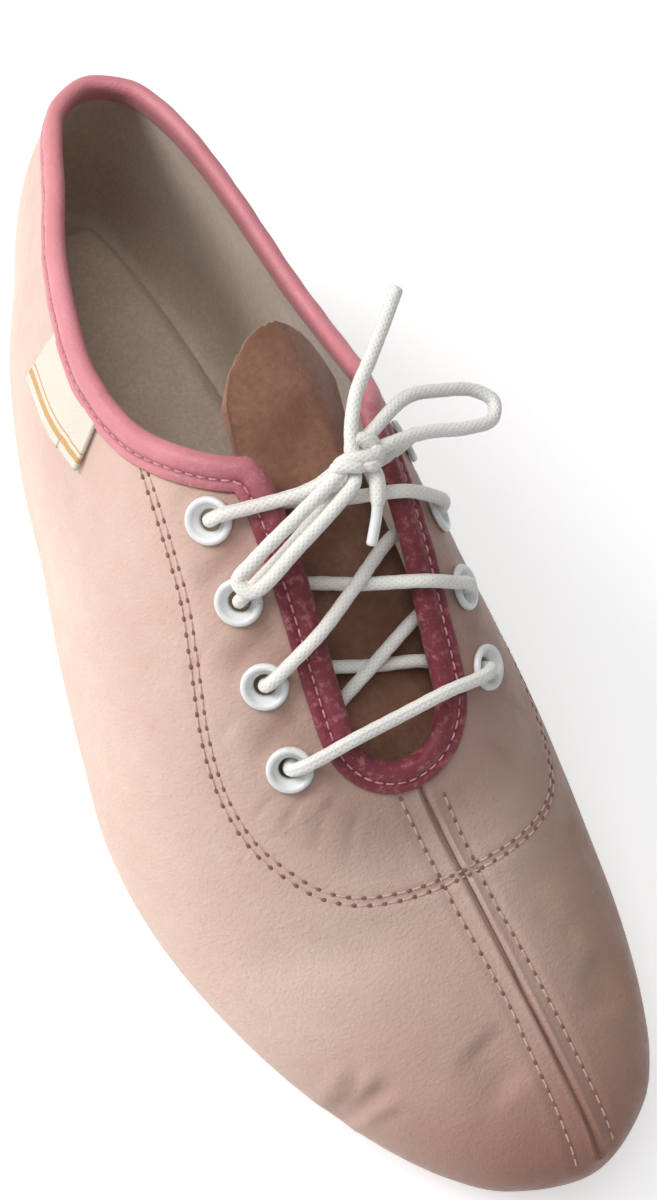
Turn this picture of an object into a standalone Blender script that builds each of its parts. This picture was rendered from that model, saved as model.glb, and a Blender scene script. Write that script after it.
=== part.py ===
"""Jazz shoe for the right foot: a soft leather lace-up shoe that stands empty on its sole.

Frame: +Z is up, the toe points to -Y and the medial side faces +X. The origin is on the floor under
the middle of the heel. Every piece is worked out from one form, the outside of the upper, and the
form comes from the length, the ball width, the instep height and the heel height.
"""
import math
from collections import namedtuple

import bmesh
import bpy
import numpy as np
from mathutils import Vector
from mathutils.bvhtree import BVHTree

MM = 0.001

# Driving sizes of the form
LENGTH = 242 * MM            # back of the heel to the tip of the toe
BALL_WIDTH = 92 * MM         # widest place of the upper, across the ball
INSTEP_HEIGHT = 67 * MM      # floor to the crest at half the length of the throat
COLLAR_HEIGHT = 65 * MM      # floor to the folded edge beside the heel
HEEL_LIFT = 7 * MM           # how much higher the foot stands at the heel than at the ball
TOE_SPRING = 6 * MM          # rise of the sole's underside at the tip of the toe
FEATHER_ROLL = 9 * MM        # height of the widest line over the feather edge, at the ball
HEEL_TO_ORIGIN = 36 * MM     # back of the heel to the origin
GAP = 0.3 * MM               # between pieces that touch on the real shoe

# Upper
WALL = 1.4 * MM
INNER_GAP = 0.9 * MM         # inner face of the wall to pieces behind it, which span its curve
UPPER_STEPS = 8              # steps of each rib above the widest line
FEATHER_INSET = 7 * MM       # widest line to the feather edge, seen from above
LASTING_WIDTH = 8 * MM       # leather turned in under the foot
THROAT_HALF = 9.7 * MM       # centre line to the folded edge, at the round end of the throat
THROAT_FLARE = 1.5 * MM      # how much more that is at the top of the throat
THROAT_END = 0.645 * LENGTH  # back of the heel to the folded edge at the end of the throat
CORNER_POWER = 6             # rounds the corner between collar and throat; higher is sharper

# Binding folded over the edge of collar and throat
BINDING_WIDTH = 5.5 * MM
BINDING_THICKNESS = 0.8 * MM
EDGE_GAP = 0.5 * MM          # cut edge of the upper to the inside of the fold

# Eyelets, numbered from the top
EYELET_COUNT = 4             # on each side
EYELET_TOP_OFFSET = 6.2 * MM # corner between collar and throat to the first eyelet, along the foot
EYELET_END_OFFSET = 9.2 * MM  # last eyelet to the end of the throat, along the foot
EYELET_HALF = 21.4 * MM      # centre line to an eyelet, seen from above
EYELET_FLANGE_RADIUS = 4.5 * MM
EYELET_BORE_RADIUS = 2.1 * MM
EYELET_METAL = 0.4 * MM
EYELET_DOME = 1.0 * MM
EYELET_WASHER_RADIUS = 3.7 * MM
EYELET_STEPS = 14

# Sole and insole
SOLE_THICKNESS = 3 * MM
SOLE_INSET = 4.5 * MM        # widest line of the upper to the edge of the sole
TREAD_THICKNESS = 0.6 * MM   # lowest layer of the sole, which stands back from its edge
TREAD_STEP = 1.0 * MM
HEEL_BREAST = 0.256 * LENGTH # back of the heel to the front of the heel block
HEEL_TAPER = 0.8 * MM        # the heel block is this much narrower at the floor
INSOLE_THICKNESS = 1.5 * MM
INSOLE_INSET = 9.2 * MM
INSOLE_BEVEL = 1.5 * MM
SOLE_END = 0.2 * MM          # the sole's flat end stands so far inside its outline's very end
INSOLE_END = 2 * MM

# Tongue
TONGUE_THICKNESS = 1.6 * MM
TONGUE_DEPTH = 8.5 * MM      # outside of the upper to the top of the tongue, under the laces
TONGUE_ROOT = 12 * MM        # how far the tongue reaches past the end of the throat
TONGUE_RISE = 18.5 * MM      # corner between collar and throat to the tongue's top edge
TONGUE_ROUND = 12 * MM       # how far its top corners are rounded off

# Lace and side tag
LACE_DIAMETER = 2.6 * MM
LACE_SLACK = 1.0 * MM        # a bar of lace to the binding that it passes over or under
TAG_WIDTH = 20 * MM
TAG_DROP = 13 * MM
TAG_SLANT = 6 * MM           # how much further down its rear corner hangs than its front one
TAG_THICKNESS = 0.6 * MM
TAG_STATION = 0.262          # middle of the tag, share of the length

LATERAL, MEDIAL = -1, 1

# Sections of the form, heel to toe. t: share of the length. centre, half: middle and half width of
# the widest line; crest: x of the highest line; line: x of the throat's and seam's centre line; all
# shares of the ball width. ridge: height of the crest, share of the instep height (over the open
# collar, where the form would close). roll: widest line over the feather edge, share of the feather
# roll. heel, spring: shares of the heel lift and the toe spring.
Section = namedtuple("Section", "t centre half crest line ridge roll heel spring")
SECTIONS = [
    Section(0.000, 0.076, 0.000, 0.060, 0.060, 1.460, 1.90, 1.00, 0.00),
    Section(0.020, 0.073, 0.111, 0.060, 0.060, 1.460, 1.86, 1.00, 0.00),
    Section(0.050, 0.065, 0.158, 0.056, 0.056, 1.460, 1.80, 1.00, 0.00),
    Section(0.100, 0.046, 0.209, 0.049, 0.045, 1.455, 1.70, 1.00, 0.00),
    Section(0.160, 0.014, 0.264, 0.041, 0.030, 1.445, 1.55, 0.98, 0.00),
    Section(0.260, -0.022, 0.324, 0.042, 0.015, 1.415, 1.36, 0.88, 0.00),
    Section(0.340, -0.036, 0.361, 0.054, 0.013, 1.360, 1.26, 0.74, 0.00),
    Section(0.420, -0.052, 0.405, 0.077, 0.013, 1.270, 1.18, 0.54, 0.00),
    Section(0.500, -0.057, 0.448, 0.098, 0.004, 1.145, 1.10, 0.32, 0.00),
    Section(0.570, -0.056, 0.484, 0.109, -0.008, 1.000, 1.04, 0.12, 0.00),
    Section(0.640, -0.041, 0.500, 0.105, -0.015, 0.855, 1.00, 0.00, 0.00),
    Section(0.700, -0.024, 0.493, 0.087, 0.004, 0.715, 0.96, 0.00, 0.00),
    Section(0.760, -0.006, 0.467, 0.066, 0.032, 0.600, 0.92, 0.00, 0.00),
    Section(0.820, 0.013, 0.427, 0.055, 0.046, 0.533, 0.87, 0.00, 0.07),
    Section(0.870, 0.029, 0.378, 0.055, 0.054, 0.490, 0.82, 0.00, 0.22),
    Section(0.910, 0.041, 0.327, 0.060, 0.060, 0.463, 0.78, 0.00, 0.42),
    Section(0.945, 0.053, 0.268, 0.066, 0.066, 0.447, 0.74, 0.00, 0.64),
    Section(0.975, 0.062, 0.187, 0.071, 0.071, 0.438, 0.70, 0.00, 0.84),
    Section(1.000, 0.072, 0.000, 0.076, 0.076, 0.433, 0.67, 0.00, 1.00),
]
HEEL_FAN = 0.29              # behind this station the ribs fan in to the heel's end of the crest
TOE_FAN = 0.674              # ahead of this one they fan in to the toe's end

# Height of the folded edge along the collar, shares of the collar height
CollarRow = namedtuple("CollarRow", "t height")
COLLAR = [
    CollarRow(0.00, 0.95), CollarRow(0.10, 1.00), CollarRow(0.24, 1.01), CollarRow(0.32, 1.08),
    CollarRow(0.37, 1.20), CollarRow(0.41, 1.37), CollarRow(0.45, 1.75), CollarRow(1.00, 3.20),
]

# The tongue from its root (0) to its top (1). half, lean: its half width and how far its middle leans
# to the medial side, shares of the throat's half width. sunk: share of the tongue's depth.
TongueRow = namedtuple("TongueRow", "v half lean sunk")
TONGUE = [
    TongueRow(0.00, 1.20, 0.00, 0.00), TongueRow(0.20, 1.60, 0.00, 0.80),
    TongueRow(0.35, 1.80, 0.00, 1.00), TongueRow(0.70, 1.85, 0.05, 1.00),
    TongueRow(0.85, 1.78, 0.17, 0.80), TongueRow(1.00, 1.65, 0.28, 0.50),
]


# The bow. Each point is in millimetres: to the medial side, towards the toe and up. The knot counts
# from the middle between the two top eyelets, and its loops and ends count from the knot.
KNOT = (2.7, 4.2, 16.5)
KNOT_RADII = (5.0, 3.6, 3.3)
LOOP_LATERAL = [
    (-5.2, 1.9, -0.4), (-13.4, 4.7, -3.1), (-22.5, 7.5, -7.7), (-26.9, 9.5, -10.5),
    (-25.5, 12.3, -10.1), (-15.3, 9.3, -5.1), (-5.3, 5.5, -1.5), (-2.5, 4.1, -0.6),
]
LOOP_MEDIAL = [
    (4.9, -2.9, 0.9), (15.2, -6.8, -0.7), (23.1, -6.1, -2.7), (30.3, -4.3, -4.7),
    (33.1, -1.1, -5.3), (30.8, 2.1, -5.1), (24.6, 2.1, -3.9), (16.1, 0.3, -2.3), (5.5, 0.1, -0.3),
]
END_UP = [
    (0.7, -4.0, 1.9), (4.9, -9.9, 3.1), (10.5, -14.7, 3.5), (16.7, -20.1, 3.5), (22.3, -25.1, 3.3),
]
END_DOWN = [
    (1.9, 4.1, -0.3), (1.0, 7.1, -1.5), (-0.5, 10.3, -3.3), (-3.3, 14.5, -5.7),
]


def smooth_rows(rows, column, at):
    """A table's column read at the given stations, through a smooth curve with no overshoot."""
    x = np.array([row[0] for row in rows])
    y = np.array([getattr(row, column) for row in rows])
    step = np.diff(x)
    slope = np.diff(y) / step
    tangent = np.zeros(len(x))
    tangent[0], tangent[-1] = slope[0], slope[-1]
    for i in range(1, len(x) - 1):
        if slope[i - 1] * slope[i] > 0:
            w1, w2 = 2 * step[i] + step[i - 1], step[i] + 2 * step[i - 1]
            tangent[i] = (w1 + w2) / (w1 / slope[i - 1] + w2 / slope[i])
    at = np.clip(np.asarray(at, float), x[0], x[-1])
    i = np.clip(np.searchsorted(x, at, side="right") - 1, 0, len(x) - 2)
    u = (at - x[i]) / step[i]
    return ((1 + 2 * u) * (1 - u) ** 2 * y[i] + u * (1 - u) ** 2 * step[i] * tangent[i]
            + u * u * (3 - 2 * u) * y[i + 1] + u * u * (u - 1) * step[i] * tangent[i + 1])


def round_curve(points, per_span=12, closed=True):
    """Points of a smooth curve through the given points, centripetal so that it never loops."""
    points = np.array(points, float)
    count = len(points)
    if not closed:
        points = np.vstack([2 * points[0] - points[1], points, 2 * points[-1] - points[-2]])
    out = []
    for i in range(count if closed else count - 1):
        if closed:
            p = [points[(i + k - 1) % count] for k in range(4)]
        else:
            p = points[i:i + 4]
        knot = [0.0]
        for k in range(3):
            knot.append(knot[-1] + max(np.linalg.norm(p[k + 1] - p[k]), 1e-9) ** 0.5)
        for t in np.linspace(knot[1], knot[2], per_span, endpoint=False):
            a = [((knot[k + 1] - t) * p[k] + (t - knot[k]) * p[k + 1]) / (knot[k + 1] - knot[k])
                 for k in range(3)]
            b = [((knot[k + 2] - t) * a[k] + (t - knot[k]) * a[k + 1]) / (knot[k + 2] - knot[k])
                 for k in range(2)]
            out.append(((knot[2] - t) * b[0] + (t - knot[1]) * b[1]) / (knot[2] - knot[1]))
    if not closed:
        out.append(points[-2])
    return np.array(out)


def widest_line():
    """The widest line seen from above as two curves (t, x), one for each side."""
    inner = SECTIONS[1:-1]
    tip, back = SECTIONS[-1], SECTIONS[0]
    ring = [(back.centre, 0.0)]
    ring += [(row.centre - row.half, row.t) for row in inner]
    ring += [(tip.centre, 1.0)]
    ring += [(row.centre + row.half, row.t) for row in reversed(inner)]
    curve = round_curve(np.array(ring) * (BALL_WIDTH, LENGTH))
    curve[:, 1] = (curve[:, 1] - curve[:, 1].min()) / np.ptp(curve[:, 1])
    curve = np.roll(curve, -int(curve[:, 1].argmin()), axis=0)
    tip_at = int(curve[:, 1].argmax())
    medial = np.vstack([curve[tip_at:], curve[:1]])[::-1]
    return {LATERAL: curve[:tip_at + 1], MEDIAL: medial}


OUTLINE = widest_line()
TOE_POLE = TOE_FAN + (1 - TOE_FAN) / 2
THROAT_TOP_T = 0.38                                   # station of the corner at the throat's top
THROAT_T = THROAT_END / LENGTH
THROAT_ROUND_T = (THROAT_END - THROAT_HALF) / LENGTH
TABLE_T = np.linspace(0, 1, 801)
COLUMNS = {name: smooth_rows(SECTIONS, name, TABLE_T) for name in Section._fields[1:]}
COLLAR_CURVE = smooth_rows(COLLAR, "height", TABLE_T)


def outline_x(side, t):
    curve = OUTLINE[side]
    return float(np.interp(t, curve[:, 1], curve[:, 0]))


def column(name, t):
    return float(np.interp(t, TABLE_T, COLUMNS[name]))


def crest_x(t):
    return BALL_WIDTH * column("crest", t)


def line_x(t):
    return BALL_WIDTH * column("line", t)


def ridge_height(t):
    return INSTEP_HEIGHT * column("ridge", t)


def feather_height(t):
    """Underside of the upper where it is turned in over the sole."""
    return SOLE_THICKNESS + GAP + HEEL_LIFT * column("heel", t) + TOE_SPRING * column("spring", t)


def widest_height(t):
    return feather_height(t) + FEATHER_ROLL * column("roll", t)


def crest_station(t):
    """Where the rib of station t meets the crest: straight across, but fanned at heel and toe."""
    if t > TOE_FAN:
        u = (t - TOE_FAN) / (1 - TOE_FAN)
        return TOE_FAN + (1 - TOE_FAN) * (u - u * u / 2)
    if t < HEEL_FAN:
        u = (HEEL_FAN - t) / HEEL_FAN
        return HEEL_FAN - HEEL_FAN * (u - u * u / 2)
    return t


def world(x, s, z):
    """A point from x, its distance from the back of the heel and its height."""
    return Vector((x, HEEL_TO_ORIGIN - s, z))


def form_point(side, t, angle):
    """A point on the outside of the form: angle is 0 on the widest line and a quarter turn on the
    crest. Past the crest the rib goes down the other side."""
    if angle > math.pi / 2:
        return form_point(-side, t, math.pi - angle)
    tc = crest_station(t)
    c = math.cos(angle)
    run = (t - tc) * LENGTH
    slope = (ridge_height(tc + 0.002) - ridge_height(tc - 0.002)) / (0.004 * LENGTH)
    low, high = widest_height(t), ridge_height(tc)
    x = crest_x(tc) + c * (outline_x(side, t) - crest_x(tc))
    z = low + (high - low) * math.sin(angle) + slope * c * run * (1 - c)
    return world(x, tc * LENGTH + c * run, z)


def angle_at(side, t, x):
    """Angle at which the rib of station t passes x; for ribs that lie straight across."""
    crest = crest_x(t)
    own = (x - crest) / (outline_x(side, t) - crest)
    if own >= 0:
        return math.acos(min(own, 1.0))
    return math.pi - math.acos(min((x - crest) / (outline_x(-side, t) - crest), 1.0))


def tuck_point(side, t, turn, inward=0.0):
    """A point below the widest line: turn runs from 0 there to 1 at the feather edge."""
    tc = crest_station(t)
    edge = np.array([outline_x(side, t), t * LENGTH])
    toward = np.array([crest_x(tc), tc * LENGTH]) - edge
    toward /= np.linalg.norm(toward)
    angle = turn * math.pi / 2
    x, s = edge + toward * (FEATHER_INSET * (1 - math.cos(angle)) + inward)
    low, high = feather_height(s / LENGTH), widest_height(t)
    return world(x, s, high - (high - low) * math.sin(angle))


def collar_angle(t):
    """Angle at which the collar's height is reached on the rib of station t."""
    low, high = widest_height(t), ridge_height(crest_station(t))
    rise = (COLLAR_HEIGHT * float(np.interp(t, TABLE_T, COLLAR_CURVE)) - low) / (high - low)
    return math.asin(min(rise, 1.0)) + max(rise - 1, 0.0) * math.pi


def throat_angle(side, t):
    """Angle at which the rib of station t reaches the throat's side."""
    flare = THROAT_FLARE * min(max((THROAT_ROUND_T - t) / (THROAT_ROUND_T - THROAT_TOP_T), 0.0), 1.0)
    beyond = min(max((t - THROAT_ROUND_T) / (THROAT_T - THROAT_ROUND_T), 0.0), 1.0)
    half = (THROAT_HALF + flare) * math.sqrt(1 - beyond ** 2)
    return angle_at(side, t, line_x(t) + side * half)


def rim_angle(side, t):
    """Angle at which the folded edge of collar and throat crosses the rib of station t."""
    collar = collar_angle(t)
    if t < HEEL_FAN:
        return collar
    return (collar ** -CORNER_POWER + throat_angle(side, t) ** -CORNER_POWER) ** (-1 / CORNER_POWER)


def corner_distance():
    """Back of the heel to the corner between collar and throat, on the side where it is further."""
    corners = []
    for side in (LATERAL, MEDIAL):
        ts = np.linspace(HEEL_FAN, THROAT_ROUND_T, 400)
        corners.append(next((t for t in ts if collar_angle(t) >= throat_angle(side, t)), ts[-1]))
    return max(corners) * LENGTH


def stations():
    """Stations of the ribs, close together where the outline or the folded edge turns."""
    heel = [0.14 * (j / 8) ** 2 for j in range(8)]
    collar = list(np.linspace(0.14, 0.34, 9, endpoint=False))
    corner = list(np.linspace(0.34, 0.43, 8, endpoint=False))
    throat = list(np.linspace(0.43, THROAT_ROUND_T, 8, endpoint=False))
    reach = THROAT_T - THROAT_ROUND_T
    bend = [THROAT_ROUND_T + reach * math.sin(j / 7 * math.pi / 2) for j in range(7)]
    vamp = list(np.linspace(THROAT_T, 0.80, 5, endpoint=False))
    toe = [1 - 0.20 * (1 - j / 8) ** 2 for j in range(9)]
    return heel + collar + corner + throat + bend + vamp + toe


def make_collection(name):
    collection = bpy.data.collections.new(name)
    bpy.context.scene.collection.children.link(collection)
    return collection


def make_material(name, color, roughness, metallic=0.0):
    material = bpy.data.materials.new(name)
    material.use_nodes = True
    shader = material.node_tree.nodes["Principled BSDF"]
    shader.inputs["Base Color"].default_value = (*color, 1.0)
    shader.inputs["Roughness"].default_value = roughness
    shader.inputs["Metallic"].default_value = metallic
    material.diffuse_color = (*color, 1.0)
    return material


def mesh_object(name, vertices, faces, collection, material, weld=0.0, closed=True):
    """A mesh as an object; the faces of a closed one are turned outward."""
    mesh = bpy.data.meshes.new(name)
    mesh.from_pydata([tuple(v) for v in vertices], [], faces)
    work = bmesh.new()
    work.from_mesh(mesh)
    if weld:
        bmesh.ops.remove_doubles(work, verts=work.verts, dist=weld)
        bmesh.ops.dissolve_degenerate(work, dist=0.001 * MM, edges=work.edges)
    if closed:
        bmesh.ops.recalc_face_normals(work, faces=work.faces)
    work.to_mesh(mesh)
    work.free()
    mesh.materials.append(material)
    mesh.shade_smooth()
    mesh.set_sharp_from_angle(angle=math.radians(40))
    thing = bpy.data.objects.new(name, mesh)
    collection.objects.link(thing)
    return thing


def grid_faces(rows, columns, wrap_rows=False, wrap_columns=False):
    """Quads of a grid whose points are listed row by row."""
    faces = []
    for i in range(rows if wrap_rows else rows - 1):
        for j in range(columns if wrap_columns else columns - 1):
            k = (i + 1) % rows
            m = (j + 1) % columns
            faces.append((i * columns + j, i * columns + m, k * columns + m, k * columns + j))
    return faces


def loft(name, rings, collection, material, wrap=False):
    """A closed solid through rings of equally many points, capped at both ends unless it wraps."""
    points = [p for ring in rings for p in ring]
    count = len(rings[0])
    faces = grid_faces(len(rings), count, wrap_rows=wrap, wrap_columns=True)
    if not wrap:
        last = (len(rings) - 1) * count
        faces += [tuple(range(count)), tuple(range(last, last + count))]
    return mesh_object(name, points, faces, collection, material)


def reference_tree():
    """The closed form as a fine surface, on which everything else is placed."""
    steps = 40
    ribs = []
    ts = [0.5 - 0.5 * math.cos(math.pi * i / 90) for i in range(91)]
    for side, run in ((LATERAL, ts), (MEDIAL, ts[-2:0:-1])):
        for t in run:
            under = [tuck_point(side, t, 1 - j / 6) for j in range(6)]
            over = [form_point(side, t, math.pi / 2 * j / steps) for j in range(steps + 1)]
            ribs.append(under + over)
    points = [p for rib in ribs for p in rib]
    return BVHTree.FromPolygons(points, grid_faces(len(ribs), len(ribs[0]), wrap_rows=True))


def outward(normal, point):
    """The normal turned to face away from the inside of the form at that station."""
    s = HEEL_TO_ORIGIN - point.y
    t = min(max(s / LENGTH, HEEL_FAN / 2), TOE_POLE)
    inside = world(crest_x(t), t * LENGTH, 0.4 * ridge_height(t))
    return normal if normal.dot(point - inside) > 0 else -normal


def on_form(tree, point):
    """Nearest point of the form and the outward normal there."""
    place, normal, _, _ = tree.find_nearest(point)
    return place, outward(normal, place)


def drop_on_form(tree, x, s):
    """Point of the form straight above (x, s) and the outward normal there."""
    place, normal, _, _ = tree.ray_cast(world(x, s, LENGTH), Vector((0, 0, -1)))
    return place, outward(normal, place)


def rim_point(side, t):
    return form_point(side, t, rim_angle(side, t))


def rim_ring():
    """The folded edge as a closed ring: lateral side from throat to heel, then the medial side."""
    ts = [t for t in stations() if t < THROAT_T - 1e-9] + [THROAT_T]
    return [rim_point(LATERAL, t) for t in reversed(ts)] + [rim_point(MEDIAL, t) for t in ts[1:-1]]


def rim_frames(tree):
    """At each point of the folded edge: the point, the outward normal and the way into the leather."""
    ring = rim_ring()
    frames = []
    for i, point in enumerate(ring):
        along = (ring[(i + 1) % len(ring)] - ring[i - 1]).normalized()
        normal = on_form(tree, point)[1]
        inward = normal.cross(along).normalized()
        frames.append((point, normal, inward))
    return frames


def beside_rim(tree, frame, down, out):
    """A point so far into the leather from the folded edge and so far out of its surface."""
    point, normal, inward = frame
    if down > 0:
        point, normal = on_form(tree, point + inward * down)
        return point + normal * out
    return point + inward * down + normal * out


def make_upper(collection, cutters, material, seats):
    """One hollow wall: ribs from under the foot to the folded edge, or to the crest of the toe."""
    ts = stations()
    ribs = []
    for side, run in ((LATERAL, ts), (MEDIAL, ts[-2:0:-1])):
        for t in run:
            end = rim_angle(side, t) if t < THROAT_T - 1e-9 else math.pi / 2
            under = [tuck_point(side, t, 1, LASTING_WIDTH), tuck_point(side, t, 1), tuck_point(side, t, 0.5)]
            over = [form_point(side, t, end * j / UPPER_STEPS) for j in range(UPPER_STEPS + 1)]
            ribs.append(under + over)
    at_end = len(ts) - 1 - ts[::-1].index(next(t for t in ts if t >= THROAT_T - 1e-9))
    for index in (at_end, len(ribs) - at_end):
        side = LATERAL if index == at_end else MEDIAL
        end = rim_angle(side, THROAT_T)
        ribs[index][3:] = [form_point(side, THROAT_T, end * j / UPPER_STEPS) for j in range(UPPER_STEPS + 1)]
    points = [p for rib in ribs for p in rib]
    faces = [face[::-1] for face in grid_faces(len(ribs), len(ribs[0]), wrap_rows=True)]
    upper = mesh_object("upper", points, faces, collection, material, weld=0.5 * MM, closed=False)
    shell = upper.modifiers.new("wall", "SOLIDIFY")
    shell.thickness = WALL
    shell.offset = -1
    shell.use_even_offset = True
    radius = EYELET_BORE_RADIUS + EYELET_METAL + GAP
    for index, (place, normal) in enumerate(seats):
        turn = normal.to_track_quat("Z", "Y").to_euler()
        bpy.ops.mesh.primitive_cylinder_add(vertices=EYELET_STEPS, radius=radius, depth=6 * WALL,
                                            location=place, rotation=turn)
        cutter = bpy.context.object
        cutter.name = f"eyelet_hole_{index}"
        move_to(cutter, cutters)
        cutter.hide_render = True
        cutter.display_type = "WIRE"
        cut = upper.modifiers.new(cutter.name, "BOOLEAN")
        cut.operation = "DIFFERENCE"
        cut.object = cutter
    return upper


def move_to(thing, collection):
    for owner in list(thing.users_collection):
        owner.objects.unlink(thing)
    collection.objects.link(thing)


def make_binding(tree, collection, material):
    """A strip folded over the edge of collar and throat, a leaf outside and a leaf inside."""
    outer, over = GAP, GAP + BINDING_THICKNESS
    edge = -EDGE_GAP
    inner, under = -WALL - INNER_GAP, -WALL - INNER_GAP - BINDING_THICKNESS
    fold = 0.35 * BINDING_THICKNESS
    section = [
        (BINDING_WIDTH, outer), (BINDING_WIDTH, over), (BINDING_WIDTH / 2, over), (0, over),
        (edge - BINDING_THICKNESS, over - fold), (edge - BINDING_THICKNESS, under + fold), (0, under),
        (BINDING_WIDTH / 2, under), (BINDING_WIDTH, under), (BINDING_WIDTH, inner),
        (BINDING_WIDTH / 2, inner), (edge, inner), (edge, outer), (BINDING_WIDTH / 2, outer),
    ]
    rings = [[beside_rim(tree, frame, down, out) for down, out in section] for frame in rim_frames(tree)]
    return loft("binding", rings, collection, material, wrap=True)


def eyelet_seats(tree):
    """Place and outward normal of each eyelet: lateral side from the top down, then medial."""
    seats = []
    first = corner_distance() + EYELET_TOP_OFFSET
    for side in (LATERAL, MEDIAL):
        for s in across(first, THROAT_END - EYELET_END_OFFSET, EYELET_COUNT):
            seats.append(drop_on_form(tree, line_x(s / LENGTH) + side * EYELET_HALF, s))
    return seats


def make_eyelet(name, seat, collection, material):
    """A turned ring: domed flange outside, barrel through the wall, rolled washer inside."""
    bore, barrel = EYELET_BORE_RADIUS, EYELET_BORE_RADIUS + EYELET_METAL
    flange, washer = EYELET_FLANGE_RADIUS, EYELET_WASHER_RADIUS
    top, back = GAP + EYELET_DOME, -WALL - INNER_GAP
    profile = [
        ((bore + flange) / 2, top), (flange - EYELET_METAL, top - EYELET_METAL / 2),
        (flange, GAP + EYELET_METAL), (flange - EYELET_METAL / 2, GAP), (barrel, GAP), (barrel, back),
        (washer, back), (washer, back - EYELET_METAL), (bore, back - EYELET_METAL),
        (bore, top - EYELET_METAL),
    ]
    mesh = bpy.data.meshes.new(name)
    count = len(profile)
    mesh.from_pydata([(r, 0, z) for r, z in profile], [(i, (i + 1) % count) for i in range(count)], [])
    mesh.materials.append(material)
    eyelet = bpy.data.objects.new(name, mesh)
    collection.objects.link(eyelet)
    eyelet.location = seat[0]
    eyelet.rotation_euler = seat[1].to_track_quat("Z", "Y").to_euler()
    turn = eyelet.modifiers.new("turned", "SCREW")
    turn.steps = EYELET_STEPS
    turn.render_steps = EYELET_STEPS
    turn.use_merge_vertices = True
    turn.merge_threshold = 0.001 * MM
    turn.use_smooth_shade = True
    return eyelet


def inset_outline(inset):
    """The widest line seen from above, moved inward: for each side its x read against s."""
    ring = np.vstack([OUTLINE[LATERAL], OUTLINE[MEDIAL][-2:0:-1]]) * (1, LENGTH)
    along = np.roll(ring, -1, axis=0) - np.roll(ring, 1, axis=0)
    along /= np.linalg.norm(along, axis=1)[:, None]
    moved = ring + np.stack([along[:, 1], -along[:, 0]], -1) * inset
    back, tip = int(moved[:, 1].argmin()), int(moved[:, 1].argmax())
    lateral = np.roll(moved, -back, axis=0)[:(tip - back) % len(moved) + 1]
    medial = np.roll(moved, -tip, axis=0)[:(back - tip) % len(moved) + 1][::-1]
    return lateral, medial


def flat_sections(edges, count, margin, extra=()):
    """Distances from the back of the heel at which a flat piece gets a section, closer at its ends."""
    low = max(edge[0, 1] for edge in edges) + margin
    high = min(edge[-1, 1] for edge in edges) - margin
    even = [low + (high - low) * (0.5 - 0.5 * math.cos(math.pi * i / (count - 1))) for i in range(count)]
    return sorted(even + list(extra))


def across(low, high, count):
    return [low + (high - low) * i / (count - 1) for i in range(count)]


def make_outsole(collection, material):
    """A thin sole with its arch and toe spring, and a low heel block under the heel."""
    edges = inset_outline(SOLE_INSET)
    rings = []
    for s in flat_sections(edges, 30, SOLE_END, (HEEL_BREAST - GAP, HEEL_BREAST + GAP)):
        lateral, medial = (float(np.interp(s, edge[:, 1], edge[:, 0])) for edge in edges)
        top = feather_height(s / LENGTH) - GAP
        shoulder = top - SOLE_THICKNESS + TREAD_THICKNESS
        on_heel = s < HEEL_BREAST
        low = 0.0 if on_heel else top - SOLE_THICKNESS
        step = min(TREAD_STEP, 0.2 * (medial - lateral))
        taper = min(HEEL_TAPER, 0.1 * (medial - lateral)) if on_heel else 0.0
        ring = [(x, top) for x in across(lateral, medial, 5)]
        ring += [(medial, shoulder), (medial - step, shoulder)]
        ring += [(x, low) for x in across(medial - step - taper, lateral + step + taper, 5)]
        ring += [(lateral + step, shoulder), (lateral, shoulder)]
        rings.append([world(x, s, z) for x, z in ring])
    return loft("outsole", rings, collection, material)


def make_insole(collection, material):
    """A flat inner sole on the turned-in leather, its edge slanted to clear the wall."""
    edges = inset_outline(INSOLE_INSET)
    rings = []
    for s in flat_sections(edges, 26, INSOLE_END):
        lateral, medial = (float(np.interp(s, edge[:, 1], edge[:, 0])) for edge in edges)
        low = feather_height(s / LENGTH) + WALL + GAP
        high = low + INSOLE_THICKNESS
        ring = [(x, high) for x in across(lateral - INSOLE_BEVEL, medial + INSOLE_BEVEL, 5)]
        ring += [(x, low) for x in across(medial, lateral, 5)]
        rings.append([world(x, s, z) for x, z in ring])
    return loft("insole", rings, collection, material)


def make_tongue(tree, collection, material):
    """A soft sheet under the throat, from its root below the vamp to a rounded top edge."""
    rows, columns = 18, 9
    root = THROAT_END + TONGUE_ROOT
    top = corner_distance() - TONGUE_RISE
    points = []
    for i in range(rows):
        v = i / (rows - 1)
        half = THROAT_HALF * float(smooth_rows(TONGUE, "half", v))
        lean = THROAT_HALF * float(smooth_rows(TONGUE, "lean", v))
        sunk = float(smooth_rows(TONGUE, "sunk", v))
        depth = WALL + 2 * GAP + sunk * (TONGUE_DEPTH - WALL - 2 * GAP)
        for j in range(columns):
            u = 2 * j / (columns - 1) - 1
            s = root + v * (top - root)
            s += TONGUE_ROUND * v ** 3 * (1 - math.sqrt(1 - 0.96 * u * u))
            place, normal = drop_on_form(tree, line_x(s / LENGTH) + lean + u * half, s)
            points.append(place - normal * depth)
    faces = grid_faces(rows, columns)
    tongue = mesh_object("tongue", points, faces, collection, material, closed=False)
    if sum(face.normal.z for face in tongue.data.polygons) < 0:
        tongue.data.flip_normals()
    sheet = tongue.modifiers.new("thickness", "SOLIDIFY")
    sheet.thickness = TONGUE_THICKNESS
    sheet.offset = -1
    return tongue


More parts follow.
